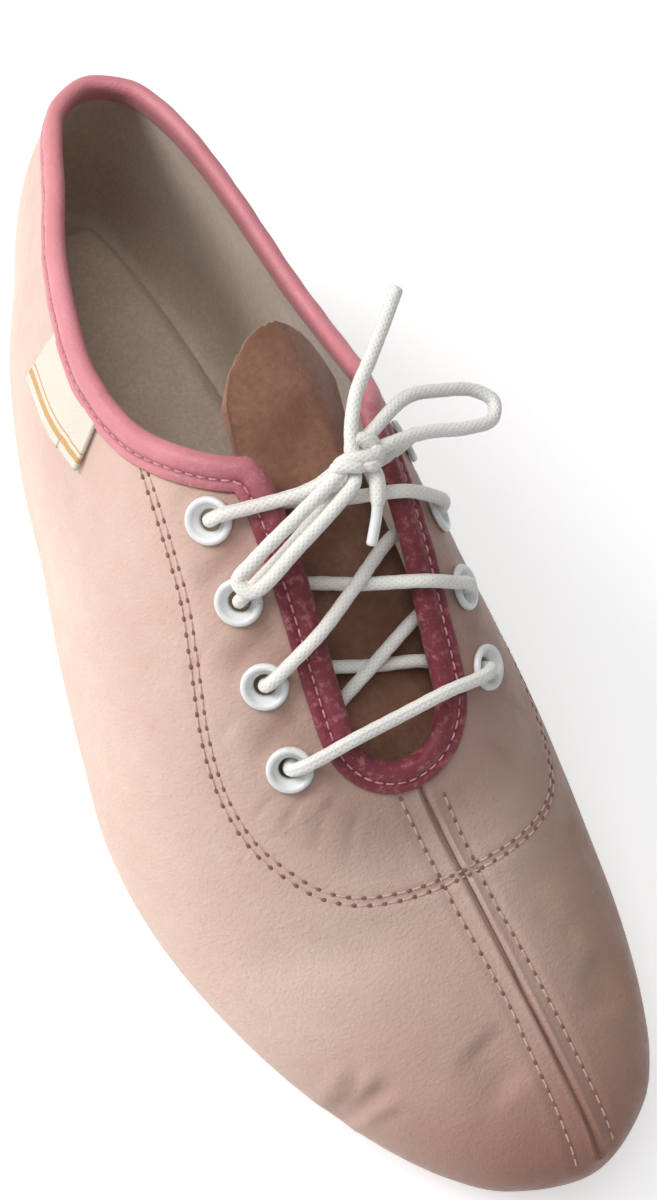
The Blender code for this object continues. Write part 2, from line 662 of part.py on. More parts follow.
def make_side_tag(tree, collection, material):
    """A folded ribbon sewn in under the binding on the lateral side of the heel."""
    rows, columns = 4, 7
    share = TAG_WIDTH / LENGTH
    start = BINDING_WIDTH + 2 * GAP
    rings = []
    for j in range(columns):
        u = j / (columns - 1) - 0.5
        t = TAG_STATION + share * u
        point = rim_point(LATERAL, t)
        along = (rim_point(LATERAL, t - 0.01) - rim_point(LATERAL, t + 0.01)).normalized()
        normal = on_form(tree, point)[1]
        frame = (point, normal, normal.cross(along).normalized())
        downs = across(start, start + TAG_DROP - TAG_SLANT * u, rows)
        ring = [beside_rim(tree, frame, down, GAP) for down in downs]
        ring += [beside_rim(tree, frame, down, GAP + TAG_THICKNESS) for down in reversed(downs)]
        rings.append(ring)
    return loft("side_tag", rings, collection, material)


def tube(name, route, collection, material):
    """A length of lace along a smooth curve through the route's points."""
    smooth = round_curve(route, per_span=3, closed=False)
    curve = bpy.data.curves.new(name, "CURVE")
    curve.dimensions = "3D"
    spline = curve.splines.new("POLY")
    spline.points.add(len(smooth) - 1)
    for point, place in zip(spline.points, smooth):
        point.co = (*place, 1.0)
    curve.bevel_depth = LACE_DIAMETER / 2
    curve.bevel_resolution = 2
    curve.use_fill_caps = True
    curve.materials.append(material)
    lace = bpy.data.objects.new(name, curve)
    collection.objects.link(lace)
    return lace


def as_mesh(lace, collection):
    """The curve made a mesh with welded caps, so that it can be joined to another."""
    bpy.context.view_layer.update()
    graph = bpy.context.evaluated_depsgraph_get()
    mesh = bpy.data.meshes.new_from_object(lace.evaluated_get(graph))
    work = bmesh.new()
    work.from_mesh(mesh)
    bmesh.ops.remove_doubles(work, verts=work.verts, dist=0.001 * MM)
    bmesh.ops.recalc_face_normals(work, faces=work.faces)
    work.to_mesh(mesh)
    work.free()
    name = lace.name
    solid = bpy.data.objects.new(name + "_solid", mesh)
    solid.matrix_world = lace.matrix_world
    bpy.data.objects.remove(lace)
    collection.objects.link(solid)
    solid.name = name
    return solid


def make_lace_bars(tree, seats, collection, cutters, material):
    """The lacing, row by row: one bar over the throat's end, then crossings that are joined."""
    radius = LACE_DIAMETER / 2
    lift = GAP + EYELET_DOME + GAP + radius
    drop = WALL + INNER_GAP + EYELET_METAL + GAP + radius
    edge_lift = GAP + BINDING_THICKNESS + LACE_SLACK + radius
    edge_drop = WALL + INNER_GAP + BINDING_THICKNESS + LACE_SLACK + radius

    def seat(side, row):
        return seats[row if side == LATERAL else EYELET_COUNT + row]

    def route(start_side, start_row, start_over, end_row, end_over):
        """From an eyelet to one across the throat, over or under the folded edge at each end."""
        ends = [(start_side, start_row, start_over), (-start_side, end_row, end_over)]
        hooks = []
        for side, row, over in ends:
            place, normal = seat(side, row)
            hooks.append(place + normal * (lift if over else -drop))
        first, last = hooks
        edges = []
        flanks = []
        for share, hook, (side, _, over) in zip((0.27, 0.73), hooks, ends):
            s = HEEL_TO_ORIGIN - first.lerp(last, share).y
            point = rim_point(side, s / LENGTH)
            normal = on_form(tree, point)[1]
            edges.append(point + normal * (edge_lift if over else -edge_drop))
            place, normal = on_form(tree, (point + hook) / 2)
            flanks.append(place + normal * (edge_lift if over else -edge_drop))
        return [first, flanks[0], edges[0], (edges[0] + edges[1]) / 2, edges[1], flanks[1], last]

    tube("lace_bar_end", route(LATERAL, 3, True, 3, True), collection, material)
    crossings = [("lace_cross_lower", 3, False), ("lace_cross_middle", 2, True), ("lace_cross_upper", 1, True)]
    for name, row, over in crossings:
        one = as_mesh(tube(name, route(LATERAL, row, over, row - 1, False), collection, material), collection)
        other_route = route(MEDIAL, row, over, row - 1, False)
        other = as_mesh(tube(name + "_other", other_route, cutters, material), cutters)
        other.hide_render = True
        other.display_type = "WIRE"
        join = one.modifiers.new("joined", "BOOLEAN")
        join.operation = "UNION"
        join.object = other


def make_bow(seats, collection, material):
    """The knot with its two loops and its two ends."""
    middle = (seats[0][0] + seats[EYELET_COUNT][0]) / 2

    def beside(origin, offsets):
        return [origin + Vector((x, -s, z)) * MM for x, s, z in offsets]

    centre = beside(middle, [KNOT])[0]
    bpy.ops.mesh.primitive_uv_sphere_add(segments=14, ring_count=8, radius=MM, location=centre)
    knot = bpy.context.object
    knot.name = "lace_knot"
    knot.scale = KNOT_RADII
    knot.data.materials.append(material)
    move_to(knot, collection)
    tube("lace_loop_lateral", beside(centre, LOOP_LATERAL), collection, material)
    tube("lace_loop_medial", beside(centre, LOOP_MEDIAL), collection, material)
    tube("lace_end_up", beside(centre, END_UP), collection, material)
    tube("lace_end_down", beside(centre, END_DOWN), collection, material)


def main():
    for thing in list(bpy.data.objects):
        bpy.data.objects.remove(thing, do_unlink=True)
    shoe = make_collection("jazz_shoe")
    cutters = make_collection("cutters")
    tree = reference_tree()
    leather = make_material("pink_leather", (0.72, 0.47, 0.40), 0.55)
    suede = make_material("brown_suede", (0.36, 0.24, 0.19), 0.90)
    lining = make_material("pale_lining", (0.70, 0.60, 0.50), 0.80)
    edging = make_material("deep_pink_binding", (0.60, 0.13, 0.19), 0.60)
    tongue_leather = make_material("mauve_leather", (0.50, 0.31, 0.25), 0.75)
    enamel = make_material("white_enamel", (0.85, 0.84, 0.82), 0.30)
    ribbon = make_material("white_ribbon", (0.86, 0.80, 0.70), 0.70)
    cotton = make_material("white_cotton", (0.82, 0.79, 0.74), 0.85)
    seats = eyelet_seats(tree)
    make_upper(shoe, cutters, leather, seats)
    make_binding(tree, shoe, edging)
    make_tongue(tree, shoe, tongue_leather)
    make_insole(shoe, lining)
    make_outsole(shoe, suede)
    make_side_tag(tree, shoe, ribbon)
    for index, seat in enumerate(seats):
        side = "lateral" if index < EYELET_COUNT else "medial"
        make_eyelet(f"eyelet_{side}_{index % EYELET_COUNT + 1}", seat, shoe, enamel)
    make_lace_bars(tree, seats, shoe, cutters, cotton)
    make_bow(seats, shoe, cotton)


main()
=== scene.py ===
"""Looks of the jazz shoe: leather, binding, stitches, eyelets, cord and bow, all placed on the form that
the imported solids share. Lengths in the tables are in millimetres, or else shares of a size."""
import math
from collections import namedtuple

import bmesh
import bpy
import numpy as np
from mathutils import Matrix, Vector
from mathutils.bvhtree import BVHTree

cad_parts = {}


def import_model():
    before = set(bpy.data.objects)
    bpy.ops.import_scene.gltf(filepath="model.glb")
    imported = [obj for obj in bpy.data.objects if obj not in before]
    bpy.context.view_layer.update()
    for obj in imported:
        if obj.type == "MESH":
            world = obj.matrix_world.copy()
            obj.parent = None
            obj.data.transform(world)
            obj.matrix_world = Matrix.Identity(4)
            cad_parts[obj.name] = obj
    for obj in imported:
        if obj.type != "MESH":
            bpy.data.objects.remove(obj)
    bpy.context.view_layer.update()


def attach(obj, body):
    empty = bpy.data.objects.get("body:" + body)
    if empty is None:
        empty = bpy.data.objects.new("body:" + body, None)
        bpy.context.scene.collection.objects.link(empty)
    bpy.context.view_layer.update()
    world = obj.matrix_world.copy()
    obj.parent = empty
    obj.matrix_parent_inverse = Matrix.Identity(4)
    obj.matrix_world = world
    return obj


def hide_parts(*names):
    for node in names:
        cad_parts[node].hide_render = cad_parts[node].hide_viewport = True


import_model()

MM = 0.001
LATERAL, MEDIAL = -1, 1

# Sizes of the form, as in the part
LENGTH = 242 * MM
BALL_WIDTH = 92 * MM
INSTEP_HEIGHT = 67 * MM
COLLAR_HEIGHT = 65 * MM
HEEL_LIFT = 7 * MM
TOE_SPRING = 6 * MM
FEATHER_ROLL = 9 * MM
HEEL_TO_ORIGIN = 36 * MM
GAP = 0.3 * MM
WALL = 1.4 * MM
INNER_GAP = 0.9 * MM
FEATHER_INSET = 7 * MM
LASTING_WIDTH = 8 * MM
THROAT_HALF = 9.7 * MM
THROAT_FLARE = 1.5 * MM
THROAT_END = 0.645 * LENGTH
CORNER_POWER = 6
BINDING_WIDTH = 5.5 * MM
BINDING_THICKNESS = 0.8 * MM
BINDING_STEP = 0.9 * MM
BINDING_GROOVE = 3.4 * MM
BINDING_STITCH_PITCH = 2.3 * MM
EYELET_COUNT = 4
EYELET_TOP_OFFSET = 6.2 * MM
EYELET_END_OFFSET = 9.2 * MM
EYELET_HALF = 21.4 * MM
EYELET_FLANGE_RADIUS = 4.5 * MM
EYELET_BORE_RADIUS = 2.1 * MM
EYELET_METAL = 0.4 * MM
EYELET_DOME = 1.0 * MM
EYELET_WASHER_RADIUS = 3.7 * MM
SOLE_THICKNESS = 3 * MM
SOLE_INSET = 4.5 * MM
TREAD_THICKNESS = 0.6 * MM
TREAD_STEP = 1.0 * MM
HEEL_BREAST = 0.256 * LENGTH
HEEL_TAPER = 0.8 * MM
INSOLE_THICKNESS = 1.5 * MM
INSOLE_INSET = 9.2 * MM
INSOLE_BEVEL = 1.5 * MM
TONGUE_THICKNESS = 1.6 * MM
TONGUE_DEPTH = 8.5 * MM
TONGUE_ROOT = 12 * MM
TONGUE_RISE = 18.5 * MM
TONGUE_ROUND = 12 * MM
LACE_DIAMETER = 2.6 * MM
LACE_SLACK = 1.0 * MM
PLAIT_DEPTH = 0.025
TAG_WIDTH = 20 * MM
TAG_DROP = 13 * MM
TAG_SLANT = 6 * MM
TAG_THICKNESS = 0.6 * MM
TAG_STATION = 0.262
STITCH_PITCH = 3.0 * MM
SEAM_STITCH = 2.0 * MM
PANEL_STITCH = 1.9 * MM
PANEL_ROWS_APART = 1.5 * MM
THREAD_RADIUS = 0.19 * MM
THREAD_LIFT = 0.10 * MM
THREAD_END_DEPTH = 0.30 * MM
PIT_RADIUS = 0.44 * MM
SEAM_LINE_RADIUS = 0.20 * MM
HEEL_FAN = 0.29
TOE_FAN = 0.674

# Sections of the form, heel to toe, in the same columns as in the part
Section = namedtuple("Section", "t centre half crest line ridge roll heel spring")
SECTIONS = [Section(*row) for row in (
    (0.000, 0.076, 0.000, 0.060, 0.060, 1.460, 1.90, 1.00, 0.00),
    (0.020, 0.073, 0.111, 0.060, 0.060, 1.460, 1.86, 1.00, 0.00),
    (0.050, 0.065, 0.158, 0.056, 0.056, 1.460, 1.80, 1.00, 0.00),
    (0.100, 0.046, 0.209, 0.049, 0.045, 1.455, 1.70, 1.00, 0.00),
    (0.160, 0.014, 0.264, 0.041, 0.030, 1.445, 1.55, 0.98, 0.00),
    (0.260, -0.022, 0.324, 0.042, 0.015, 1.415, 1.36, 0.88, 0.00),
    (0.340, -0.036, 0.361, 0.054, 0.013, 1.360, 1.26, 0.74, 0.00),
    (0.420, -0.052, 0.405, 0.077, 0.013, 1.270, 1.18, 0.54, 0.00),
    (0.500, -0.057, 0.448, 0.098, 0.004, 1.145, 1.10, 0.32, 0.00),
    (0.570, -0.056, 0.484, 0.109, -0.008, 1.000, 1.04, 0.12, 0.00),
    (0.640, -0.041, 0.500, 0.105, -0.015, 0.855, 1.00, 0.00, 0.00),
    (0.700, -0.024, 0.493, 0.087, 0.004, 0.715, 0.96, 0.00, 0.00),
    (0.760, -0.006, 0.467, 0.066, 0.032, 0.600, 0.92, 0.00, 0.00),
    (0.820, 0.013, 0.427, 0.055, 0.046, 0.533, 0.87, 0.00, 0.07),
    (0.870, 0.029, 0.378, 0.055, 0.054, 0.490, 0.82, 0.00, 0.22),
    (0.910, 0.041, 0.327, 0.060, 0.060, 0.463, 0.78, 0.00, 0.42),
    (0.945, 0.053, 0.268, 0.066, 0.066, 0.447, 0.74, 0.00, 0.64),
    (0.975, 0.062, 0.187, 0.071, 0.071, 0.438, 0.70, 0.00, 0.84),
    (1.000, 0.072, 0.000, 0.076, 0.076, 0.433, 0.67, 0.00, 1.00),
)]
CollarRow = namedtuple("CollarRow", "t height")
COLLAR = [CollarRow(*row) for row in (
    (0.00, 0.95), (0.10, 1.00), (0.24, 1.01), (0.32, 1.08),
    (0.37, 1.20), (0.41, 1.37), (0.45, 1.75), (1.00, 3.20),
)]
TongueRow = namedtuple("TongueRow", "v half lean sunk")
TONGUE = [TongueRow(*row) for row in (
    (0.00, 1.20, 0.00, 0.00), (0.20, 1.60, 0.00, 0.80),
    (0.35, 1.80, 0.00, 1.00), (0.70, 1.85, 0.05, 1.00),
    (0.85, 1.78, 0.17, 0.80), (1.00, 1.65, 0.28, 0.50),
)]

# The bow: to the medial side, towards the toe and up, from the middle of the top eyelets or from the knot
KNOT = (2.7, 4.2, 16.5)
LOOP_LATERAL = [
    (-5.2, 1.9, -0.4), (-13.4, 4.7, -3.1), (-22.5, 7.5, -7.7), (-26.9, 9.5, -10.5),
    (-25.5, 12.3, -10.1), (-15.3, 9.3, -5.1), (-5.3, 5.5, -1.5), (-2.5, 4.1, -0.6),
]
LOOP_MEDIAL = [
    (4.9, -2.9, 0.9), (15.2, -6.8, -0.7), (23.1, -6.1, -2.7), (30.3, -4.3, -4.7),
    (33.1, -1.1, -5.3), (30.8, 2.1, -5.1), (24.6, 2.1, -3.9), (16.1, 0.3, -2.3), (5.5, 0.1, -0.3),
]
END_UP = [
    (0.7, -4.0, 1.9), (4.9, -9.9, 3.1), (10.5, -14.7, 3.5), (16.7, -20.1, 3.5), (22.3, -25.1, 3.3),
]
END_DOWN = [
    (1.9, 4.1, -0.3), (1.0, 7.1, -1.5), (-0.5, 10.3, -3.3), (-3.3, 14.5, -5.7),
]

# The camera: its place in mm, its turn in degrees and its focal length in pixels of a 1200 px high image
EYE = (-128.1, -147.6, 355.7)
YAW, PITCH, ROLL = 64.1, 64.6, 37.0
FOCAL_PIXELS, IMAGE_HEIGHT = 1741, 1200
SENSOR = 36
LIGHT_DISTANCE = 1.1
LIT_POINT = (0, -0.085, 0.035)
FLOOR_GLOW = 0.42

# Rows of stitches. x from the middle line, s from the back of the heel
SEAM_ROW_LATERAL = [(161, -4.5), (175, -4.3), (183, -4.5), (198, -4.0), (206, -3.9), (213, -4.3),
                    (220, -4.5), (226, -4.8), (232, -5.1), (238.5, -5.3)]
SEAM_ROW_MEDIAL = [(164, 3.7), (176, 3.5), (184, 3.2), (199, 3.9), (213, 4.1), (227, 4.1), (238, 4.1)]
PANEL_ROW = [(86, -26.1), (95, -27.2), (104, -28.3), (113, -29.2), (123, -31.0), (134, -32.8),
             (144, -33.2), (154, -31.6), (163, -28.3), (169, -25.0), (173.5, -20.0), (176.5, -13.0),
             (178, -5.0), (178.5, 4.0), (178, 14.0), (175.5, 23.0), (171, 29.5), (164, 33.2),
             (154, 34.6), (144, 34.2), (134, 32.8), (123, 31.0), (114, 29.0)]

# Creases. x and s of the line, then width and depth; a fold has a ridge on either side of its trough
Crease = namedtuple("Crease", "line width depth ridge")
CREASES = [Crease(*row) for row in (
    # three short folds at the lateral edge of the toe, of unequal length
    ([(-34.6, 205.2, 9.0), (-34.4, 205.0, 14.0), (-31.8, 203.4), (-29.0, 200.2)], 1.7, 0.85, 0.40),
    ([(-33.4, 208.0, 9.0), (-33.2, 207.6, 14.0), (-29.0, 206.8), (-23.5, 206.4)], 1.9, 1.10, 0.45),
    ([(-30.5, 211.5), (-27.5, 211.4), (-24.5, 212.6)], 1.6, 0.30, 0.30),
    # hollows beside the seam of the toe
    ([(-8.5, 206.0), (-6.5, 213.0), (-4.5, 221.0)], 5.4, 1.5, 0.15),
    ([(20.5, 204.0), (22.0, 210.5), (19.5, 217.0)], 5.4, 1.25, 0.2),
    ([(13.0, 190.0), (18.0, 196.0), (22.0, 202.0)], 3.0, 0.5, 0.3),
    # puckers between the eyelets, lateral then medial
    ([(-14.5, 108.0), (-21.0, 109.5), (-27.0, 112.5)], 2.4, 0.55, 0.3),
    ([(-15.5, 123.0), (-22.0, 124.5), (-28.0, 127.5)], 2.4, 0.60, 0.3),
    ([(-16.5, 138.0), (-23.0, 139.5), (-29.0, 142.0)], 2.4, 0.55, 0.3),
    ([(17.0, 109.0), (23.0, 110.5), (28.0, 113.0)], 2.4, 0.45, 0.3),
    ([(17.0, 124.0), (23.0, 125.0), (28.0, 127.5)], 2.4, 0.45, 0.3),
    ([(16.0, 139.0), (23.0, 140.0), (28.0, 142.0)], 2.4, 0.45, 0.3),
    # fine strain lines from the lowest lateral eyelet and along the throat's end
    ([(-19.0, 150.5), (-24.0, 153.0), (-29.0, 157.5)], 0.9, 0.28, 0.5),
    ([(-16.0, 154.0), (-20.5, 157.5), (-24.0, 162.5)], 0.9, 0.28, 0.5),
    ([(-13.0, 158.0), (-16.5, 162.5), (-18.5, 168.0)], 1.0, 0.25, 0.5),
    ([(-24.0, 148.0), (-27.5, 149.5), (-31.5, 152.0)], 0.8, 0.22, 0.5),
    ([(-25.0, 133.0), (-29.0, 134.5), (-33.0, 136.5)], 0.9, 0.20, 0.5),
    ([(-23.5, 118.0), (-28.0, 121.0), (-33.0, 124.0)], 1.0, 0.20, 0.5),
    ([(14.0, 158.0), (18.0, 162.0), (21.0, 168.0)], 1.0, 0.25, 0.5),
    ([(20.0, 152.0), (25.0, 155.0), (29.0, 160.0)], 0.9, 0.22, 0.5),
    # soft bends over the joint of the toes
    ([(-40.0, 170.0), (-34.0, 176.0), (-24.0, 181.0), (-12.0, 184.0)], 4.5, 0.45, 0.3),
    ([(38.0, 172.0), (30.0, 181.0), (18.0, 187.0), (9.0, 189.0)], 4.5, 0.45, 0.3),
)]


def unit(vectors):
    return vectors / np.linalg.norm(vectors, axis=-1, keepdims=True)


def eased(ring):
    """A closed row of points or directions, each drawn a little to its neighbours."""
    return (np.roll(ring, 1, axis=0) + 2 * ring + np.roll(ring, -1, axis=0)) / 4


def smooth_rows(rows, column, at):
    """A table's column read at the given stations, through a smooth curve with no overshoot."""
    x = np.array([row[0] for row in rows])
    y = np.array([getattr(row, column) for row in rows])
    step = np.diff(x)
    slope = np.diff(y) / step
    tangent = np.zeros(len(x))
    tangent[0], tangent[-1] = slope[0], slope[-1]
    for i in range(1, len(x) - 1):
        if slope[i - 1] * slope[i] > 0:
            w1, w2 = 2 * step[i] + step[i - 1], step[i] + 2 * step[i - 1]
            tangent[i] = (w1 + w2) / (w1 / slope[i - 1] + w2 / slope[i])
    at = np.clip(np.asarray(at, float), x[0], x[-1])
    i = np.clip(np.searchsorted(x, at, side="right") - 1, 0, len(x) - 2)
    u = (at - x[i]) / step[i]
    return ((1 + 2 * u) * (1 - u) ** 2 * y[i] + u * (1 - u) ** 2 * step[i] * tangent[i]
            + u * u * (3 - 2 * u) * y[i + 1] + u * u * (u - 1) * step[i] * tangent[i + 1])


def round_curve(points, per_span=12, closed=False):
    """Points of a smooth curve through the given points, centripetal so that it never loops."""
    points = np.array(points, float)
    count = len(points)
    if not closed:
        points = np.vstack([2 * points[0] - points[1], points, 2 * points[-1] - points[-2]])
    out = []
    for i in range(count if closed else count - 1):
        p = [points[(i + k - 1) % count] for k in range(4)] if closed else points[i:i + 4]
        knot = [0.0]
        for k in range(3):
            knot.append(knot[-1] + max(np.linalg.norm(p[k + 1] - p[k]), 1e-9) ** 0.5)
        for t in np.linspace(knot[1], knot[2], per_span, endpoint=False):
            a = [((knot[k + 1] - t) * p[k] + (t - knot[k]) * p[k + 1]) / (knot[k + 1] - knot[k])
                 for k in range(3)]
            b = [((knot[k + 2] - t) * a[k] + (t - knot[k]) * a[k + 1]) / (knot[k + 2] - knot[k])
                 for k in range(2)]
            out.append(((knot[2] - t) * b[0] + (t - knot[1]) * b[1]) / (knot[2] - knot[1]))
    if not closed:
        out.append(points[-2])
    return np.array(out)


def widest_line():
    """The widest line seen from above as two curves (t, x), one for each side."""
    inner = SECTIONS[1:-1]
    tip, back = SECTIONS[-1], SECTIONS[0]
    ring = [(back.centre, 0.0)]
    ring += [(row.centre - row.half, row.t) for row in inner]
    ring += [(tip.centre, 1.0)]
    ring += [(row.centre + row.half, row.t) for row in reversed(inner)]
    curve = round_curve(np.array(ring) * (BALL_WIDTH, LENGTH), closed=True)
    curve[:, 1] = (curve[:, 1] - curve[:, 1].min()) / np.ptp(curve[:, 1])
    curve = np.roll(curve, -int(curve[:, 1].argmin()), axis=0)
    tip_at = int(curve[:, 1].argmax())
    medial = np.vstack([curve[tip_at:], curve[:1]])[::-1]
    return {LATERAL: curve[:tip_at + 1], MEDIAL: medial}


OUTLINE = widest_line()
TOE_POLE = TOE_FAN + (1 - TOE_FAN) / 2
THROAT_TOP_T = 0.38
THROAT_T = THROAT_END / LENGTH
THROAT_ROUND_T = (THROAT_END - THROAT_HALF) / LENGTH
TABLE_T = np.linspace(0, 1, 801)
COLUMNS = {name: smooth_rows(SECTIONS, name, TABLE_T) for name in Section._fields[1:]}
COLLAR_CURVE = smooth_rows(COLLAR, "height", TABLE_T)


def outline_x(side, t):
    by_side = {k: np.interp(t, c[:, 1], c[:, 0]) for k, c in OUTLINE.items()}
    return np.where(np.asarray(side) == LATERAL, by_side[LATERAL], by_side[MEDIAL])


def column(name, t):
    return np.interp(t, TABLE_T, COLUMNS[name])


def crest_x(t):
    return BALL_WIDTH * column("crest", t)


def line_x(t):
    return BALL_WIDTH * column("line", t)


def ridge_height(t):
    return INSTEP_HEIGHT * column("ridge", t)


def feather_height(t):
    return SOLE_THICKNESS + GAP + HEEL_LIFT * column("heel", t) + TOE_SPRING * column("spring", t)


def widest_height(t):
    return feather_height(t) + FEATHER_ROLL * column("roll", t)


def crest_station(t):
    t = np.asarray(t, float)
    ahead = np.clip((t - TOE_FAN) / (1 - TOE_FAN), 0, 1)
    behind = np.clip((HEEL_FAN - t) / HEEL_FAN, 0, 1)
    toe = TOE_FAN + (1 - TOE_FAN) * (ahead - ahead ** 2 / 2)
    heel = HEEL_FAN - HEEL_FAN * (behind - behind ** 2 / 2)
    return np.where(t > TOE_FAN, toe, np.where(t < HEEL_FAN, heel, t))


def world(x, s, z):
    x, s, z = np.broadcast_arrays(x, s, z)
    return np.stack([x, HEEL_TO_ORIGIN - s, z], -1)


def form(side, t, angle):
    """Points on the outside of the form; past a quarter turn the rib goes down the other side."""
    side, t, angle = np.broadcast_arrays(side, np.asarray(t, float), angle)
    past = angle > np.pi / 2
    side = np.where(past, -side, side)
    angle = np.where(past, np.pi - angle, angle)
    tc = crest_station(t)
    c = np.cos(angle)
    run = (t - tc) * LENGTH
    slope = (ridge_height(tc + 0.002) - ridge_height(tc - 0.002)) / (0.004 * LENGTH)
    low, high = widest_height(t), ridge_height(tc)
    x = crest_x(tc) + c * (outline_x(side, t) - crest_x(tc))
    z = low + (high - low) * np.sin(angle) + slope * c * run * (1 - c)
    return world(x, tc * LENGTH + c * run, z)


def tuck(side, t, turn, inward=0.0):
    """Points below the widest line: turn runs from 0 there to 1 at the feather edge."""
    tc = crest_station(t)
    edge = np.stack([outline_x(side, t), np.asarray(t, float) * LENGTH], -1)
    toward = unit(np.stack([crest_x(tc), tc * LENGTH], -1) - edge)
    angle = turn * np.pi / 2
    plan = edge + toward * (FEATHER_INSET * (1 - np.cos(angle)) + inward)
    low, high = feather_height(plan[..., 1] / LENGTH), widest_height(t)
    return world(plan[..., 0], plan[..., 1], high - (high - low) * np.sin(angle))


def angle_at(side, t, x):
    crest = crest_x(t)
    own = (x - crest) / (outline_x(side, t) - crest)
    other = (x - crest) / (outline_x(-np.asarray(side), t) - crest)
    return np.where(own >= 0, np.arccos(np.clip(own, -1, 1)), np.pi - np.arccos(np.clip(other, -1, 1)))


def collar_angle(t):
    low, high = widest_height(t), ridge_height(crest_station(t))
    rise = (COLLAR_HEIGHT * np.interp(t, TABLE_T, COLLAR_CURVE) - low) / (high - low)
    return np.arcsin(np.minimum(rise, 1.0)) + np.maximum(rise - 1, 0.0) * np.pi


def throat_angle(side, t):
    flare = THROAT_FLARE * np.clip((THROAT_ROUND_T - t) / (THROAT_ROUND_T - THROAT_TOP_T), 0, 1)
    beyond = np.clip((t - THROAT_ROUND_T) / (THROAT_T - THROAT_ROUND_T), 0, 1)
    half = (THROAT_HALF + flare) * np.sqrt(1 - beyond ** 2)
    return angle_at(side, t, line_x(t) + side * half)


def rim_angle(side, t):
    t = np.asarray(t, float)
    collar = collar_angle(t)
    both = (collar ** -CORNER_POWER + throat_angle(side, t) ** -CORNER_POWER) ** (-1 / CORNER_POWER)
    return np.where(t < HEEL_FAN, collar, both)


def seam_angle(t):
    """Angle from the lateral side at which the rib of station t crosses the seam of the vamp."""
    low = np.full(len(t), np.pi * 0.36)
    high = np.full(len(t), np.pi * 0.62)
    for _ in range(40):
        middle = (low + high) / 2
        p = form(LATERAL, t, middle)
        before = p[:, 0] < line_x((HEEL_TO_ORIGIN - p[:, 1]) / LENGTH)
        low, high = np.where(before, middle, low), np.where(before, high, middle)
    blend = np.clip((t - 0.90) / 0.07, 0, 1)
    blend = blend * blend * (3 - 2 * blend)
    return low * (1 - blend) + np.pi / 2 * blend


def corner_distance():
    corners = []
    for side in (LATERAL, MEDIAL):
        ts = np.linspace(HEEL_FAN, THROAT_ROUND_T, 400)
        crossed = np.nonzero(collar_angle(ts) >= throat_angle(side, ts))[0]
        corners.append(ts[crossed[0]] if len(crossed) else ts[-1])
    return max(corners) * LENGTH


def stations(fine):
    """Stations of the ribs, close together where the outline or the folded edge turns."""
    heel = 0.14 * (np.arange(8 * fine) / (8 * fine)) ** 2
    collar = np.linspace(0.14, 0.34, 9 * fine, endpoint=False)
    corner = np.linspace(0.34, 0.43, 9 * fine, endpoint=False)
    throat = np.linspace(0.43, THROAT_ROUND_T, 9 * fine, endpoint=False)
    reach = THROAT_T - THROAT_ROUND_T
    bend = THROAT_ROUND_T + reach * np.sin(np.arange(7 * fine) / (7 * fine) * np.pi / 2)
    vamp = np.linspace(THROAT_T, 0.80, 9 * fine, endpoint=False)
    toe = 1 - 0.20 * (1 - np.arange(20 * fine + 1) / (20 * fine)) ** 1.6
    return np.concatenate([heel, collar, corner, throat, bend, vamp, toe])


def grid_faces(rows, columns, wrap_rows=False, wrap_columns=False):
    """Quads of a grid whose points are listed row by row."""
    i = np.arange(rows if wrap_rows else rows - 1)
    j = np.arange(columns if wrap_columns else columns - 1)
    i, j = (a.ravel() for a in np.meshgrid(i, j, indexing="ij"))
    k, m = (i + 1) % rows, (j + 1) % columns
    return np.stack([i * columns + j, i * columns + m, k * columns + m, k * columns + j], -1)


def reference_tree():
    """The closed form as a fine surface, on which everything else is placed."""
    ts = 0.5 - 0.5 * np.cos(np.pi * np.arange(181) / 180)
    ribs = []
    for side, run in ((LATERAL, ts), (MEDIAL, ts[-2:0:-1])):
        under = [tuck(side, run, 1 - j / 6) for j in range(6)]
        over = [form(side, run, np.pi / 2 * j / 60) for j in range(61)]
        ribs.append(np.stack(under + over, 1))
    points = np.concatenate(ribs)
    faces = grid_faces(len(points), points.shape[1], wrap_rows=True)
    return BVHTree.FromPolygons([tuple(p) for p in points.reshape(-1, 3)], faces.tolist())


def outward(normal, point):
    s = HEEL_TO_ORIGIN - point.y
    t = min(max(s / LENGTH, HEEL_FAN / 2), TOE_POLE)
    inside = Vector(world(crest_x(t), t * LENGTH, 0.4 * ridge_height(t)))
    return normal if normal.dot(point - inside) > 0 else -normal


FORM = reference_tree()
CORNER = corner_distance()


def found(hit):
    """Place and outward normal of what the search of a surface gives."""
    place, normal = hit[:2]
    return np.array(place), np.array(outward(normal, place))


def on_form(point):
    return found(FORM.find_nearest(Vector(point)))


def drop_on_form(x, s):
    return found(FORM.ray_cast(Vector(world(x, s, LENGTH)), Vector((0, 0, -1))))


def by_line(s, x=0.0):
    """The point of the form above s, at x from the middle line."""
    return drop_on_form(line_x(s / LENGTH) + x, s)


def link_mesh(name, mesh, material):
    thing = bpy.data.objects.new(name, mesh)
    bpy.context.scene.collection.objects.link(thing)
    if material:
        mesh.materials.append(material)
    mesh.shade_smooth()
    return thing


def add_mesh(name, points, faces, material, closed=True, uv=None):
    """A mesh as an object; the faces of a closed one are turned outward."""
    mesh = bpy.data.meshes.new(name)
    mesh.from_pydata(np.asarray(points).reshape(-1, 3).tolist(), [], [list(f) for f in faces])
    if uv is not None:
        layer = mesh.uv_layers.new(name="along")
        index = np.empty(len(mesh.loops), int)
        mesh.loops.foreach_get("vertex_index", index)
        layer.data.foreach_set("uv", np.asarray(uv, float)[index].ravel())
    if closed:
        work = bmesh.new()
        work.from_mesh(mesh)
        bmesh.ops.recalc_face_normals(work, faces=work.faces)
        work.to_mesh(mesh)
        work.free()
    return link_mesh(name, mesh, material)


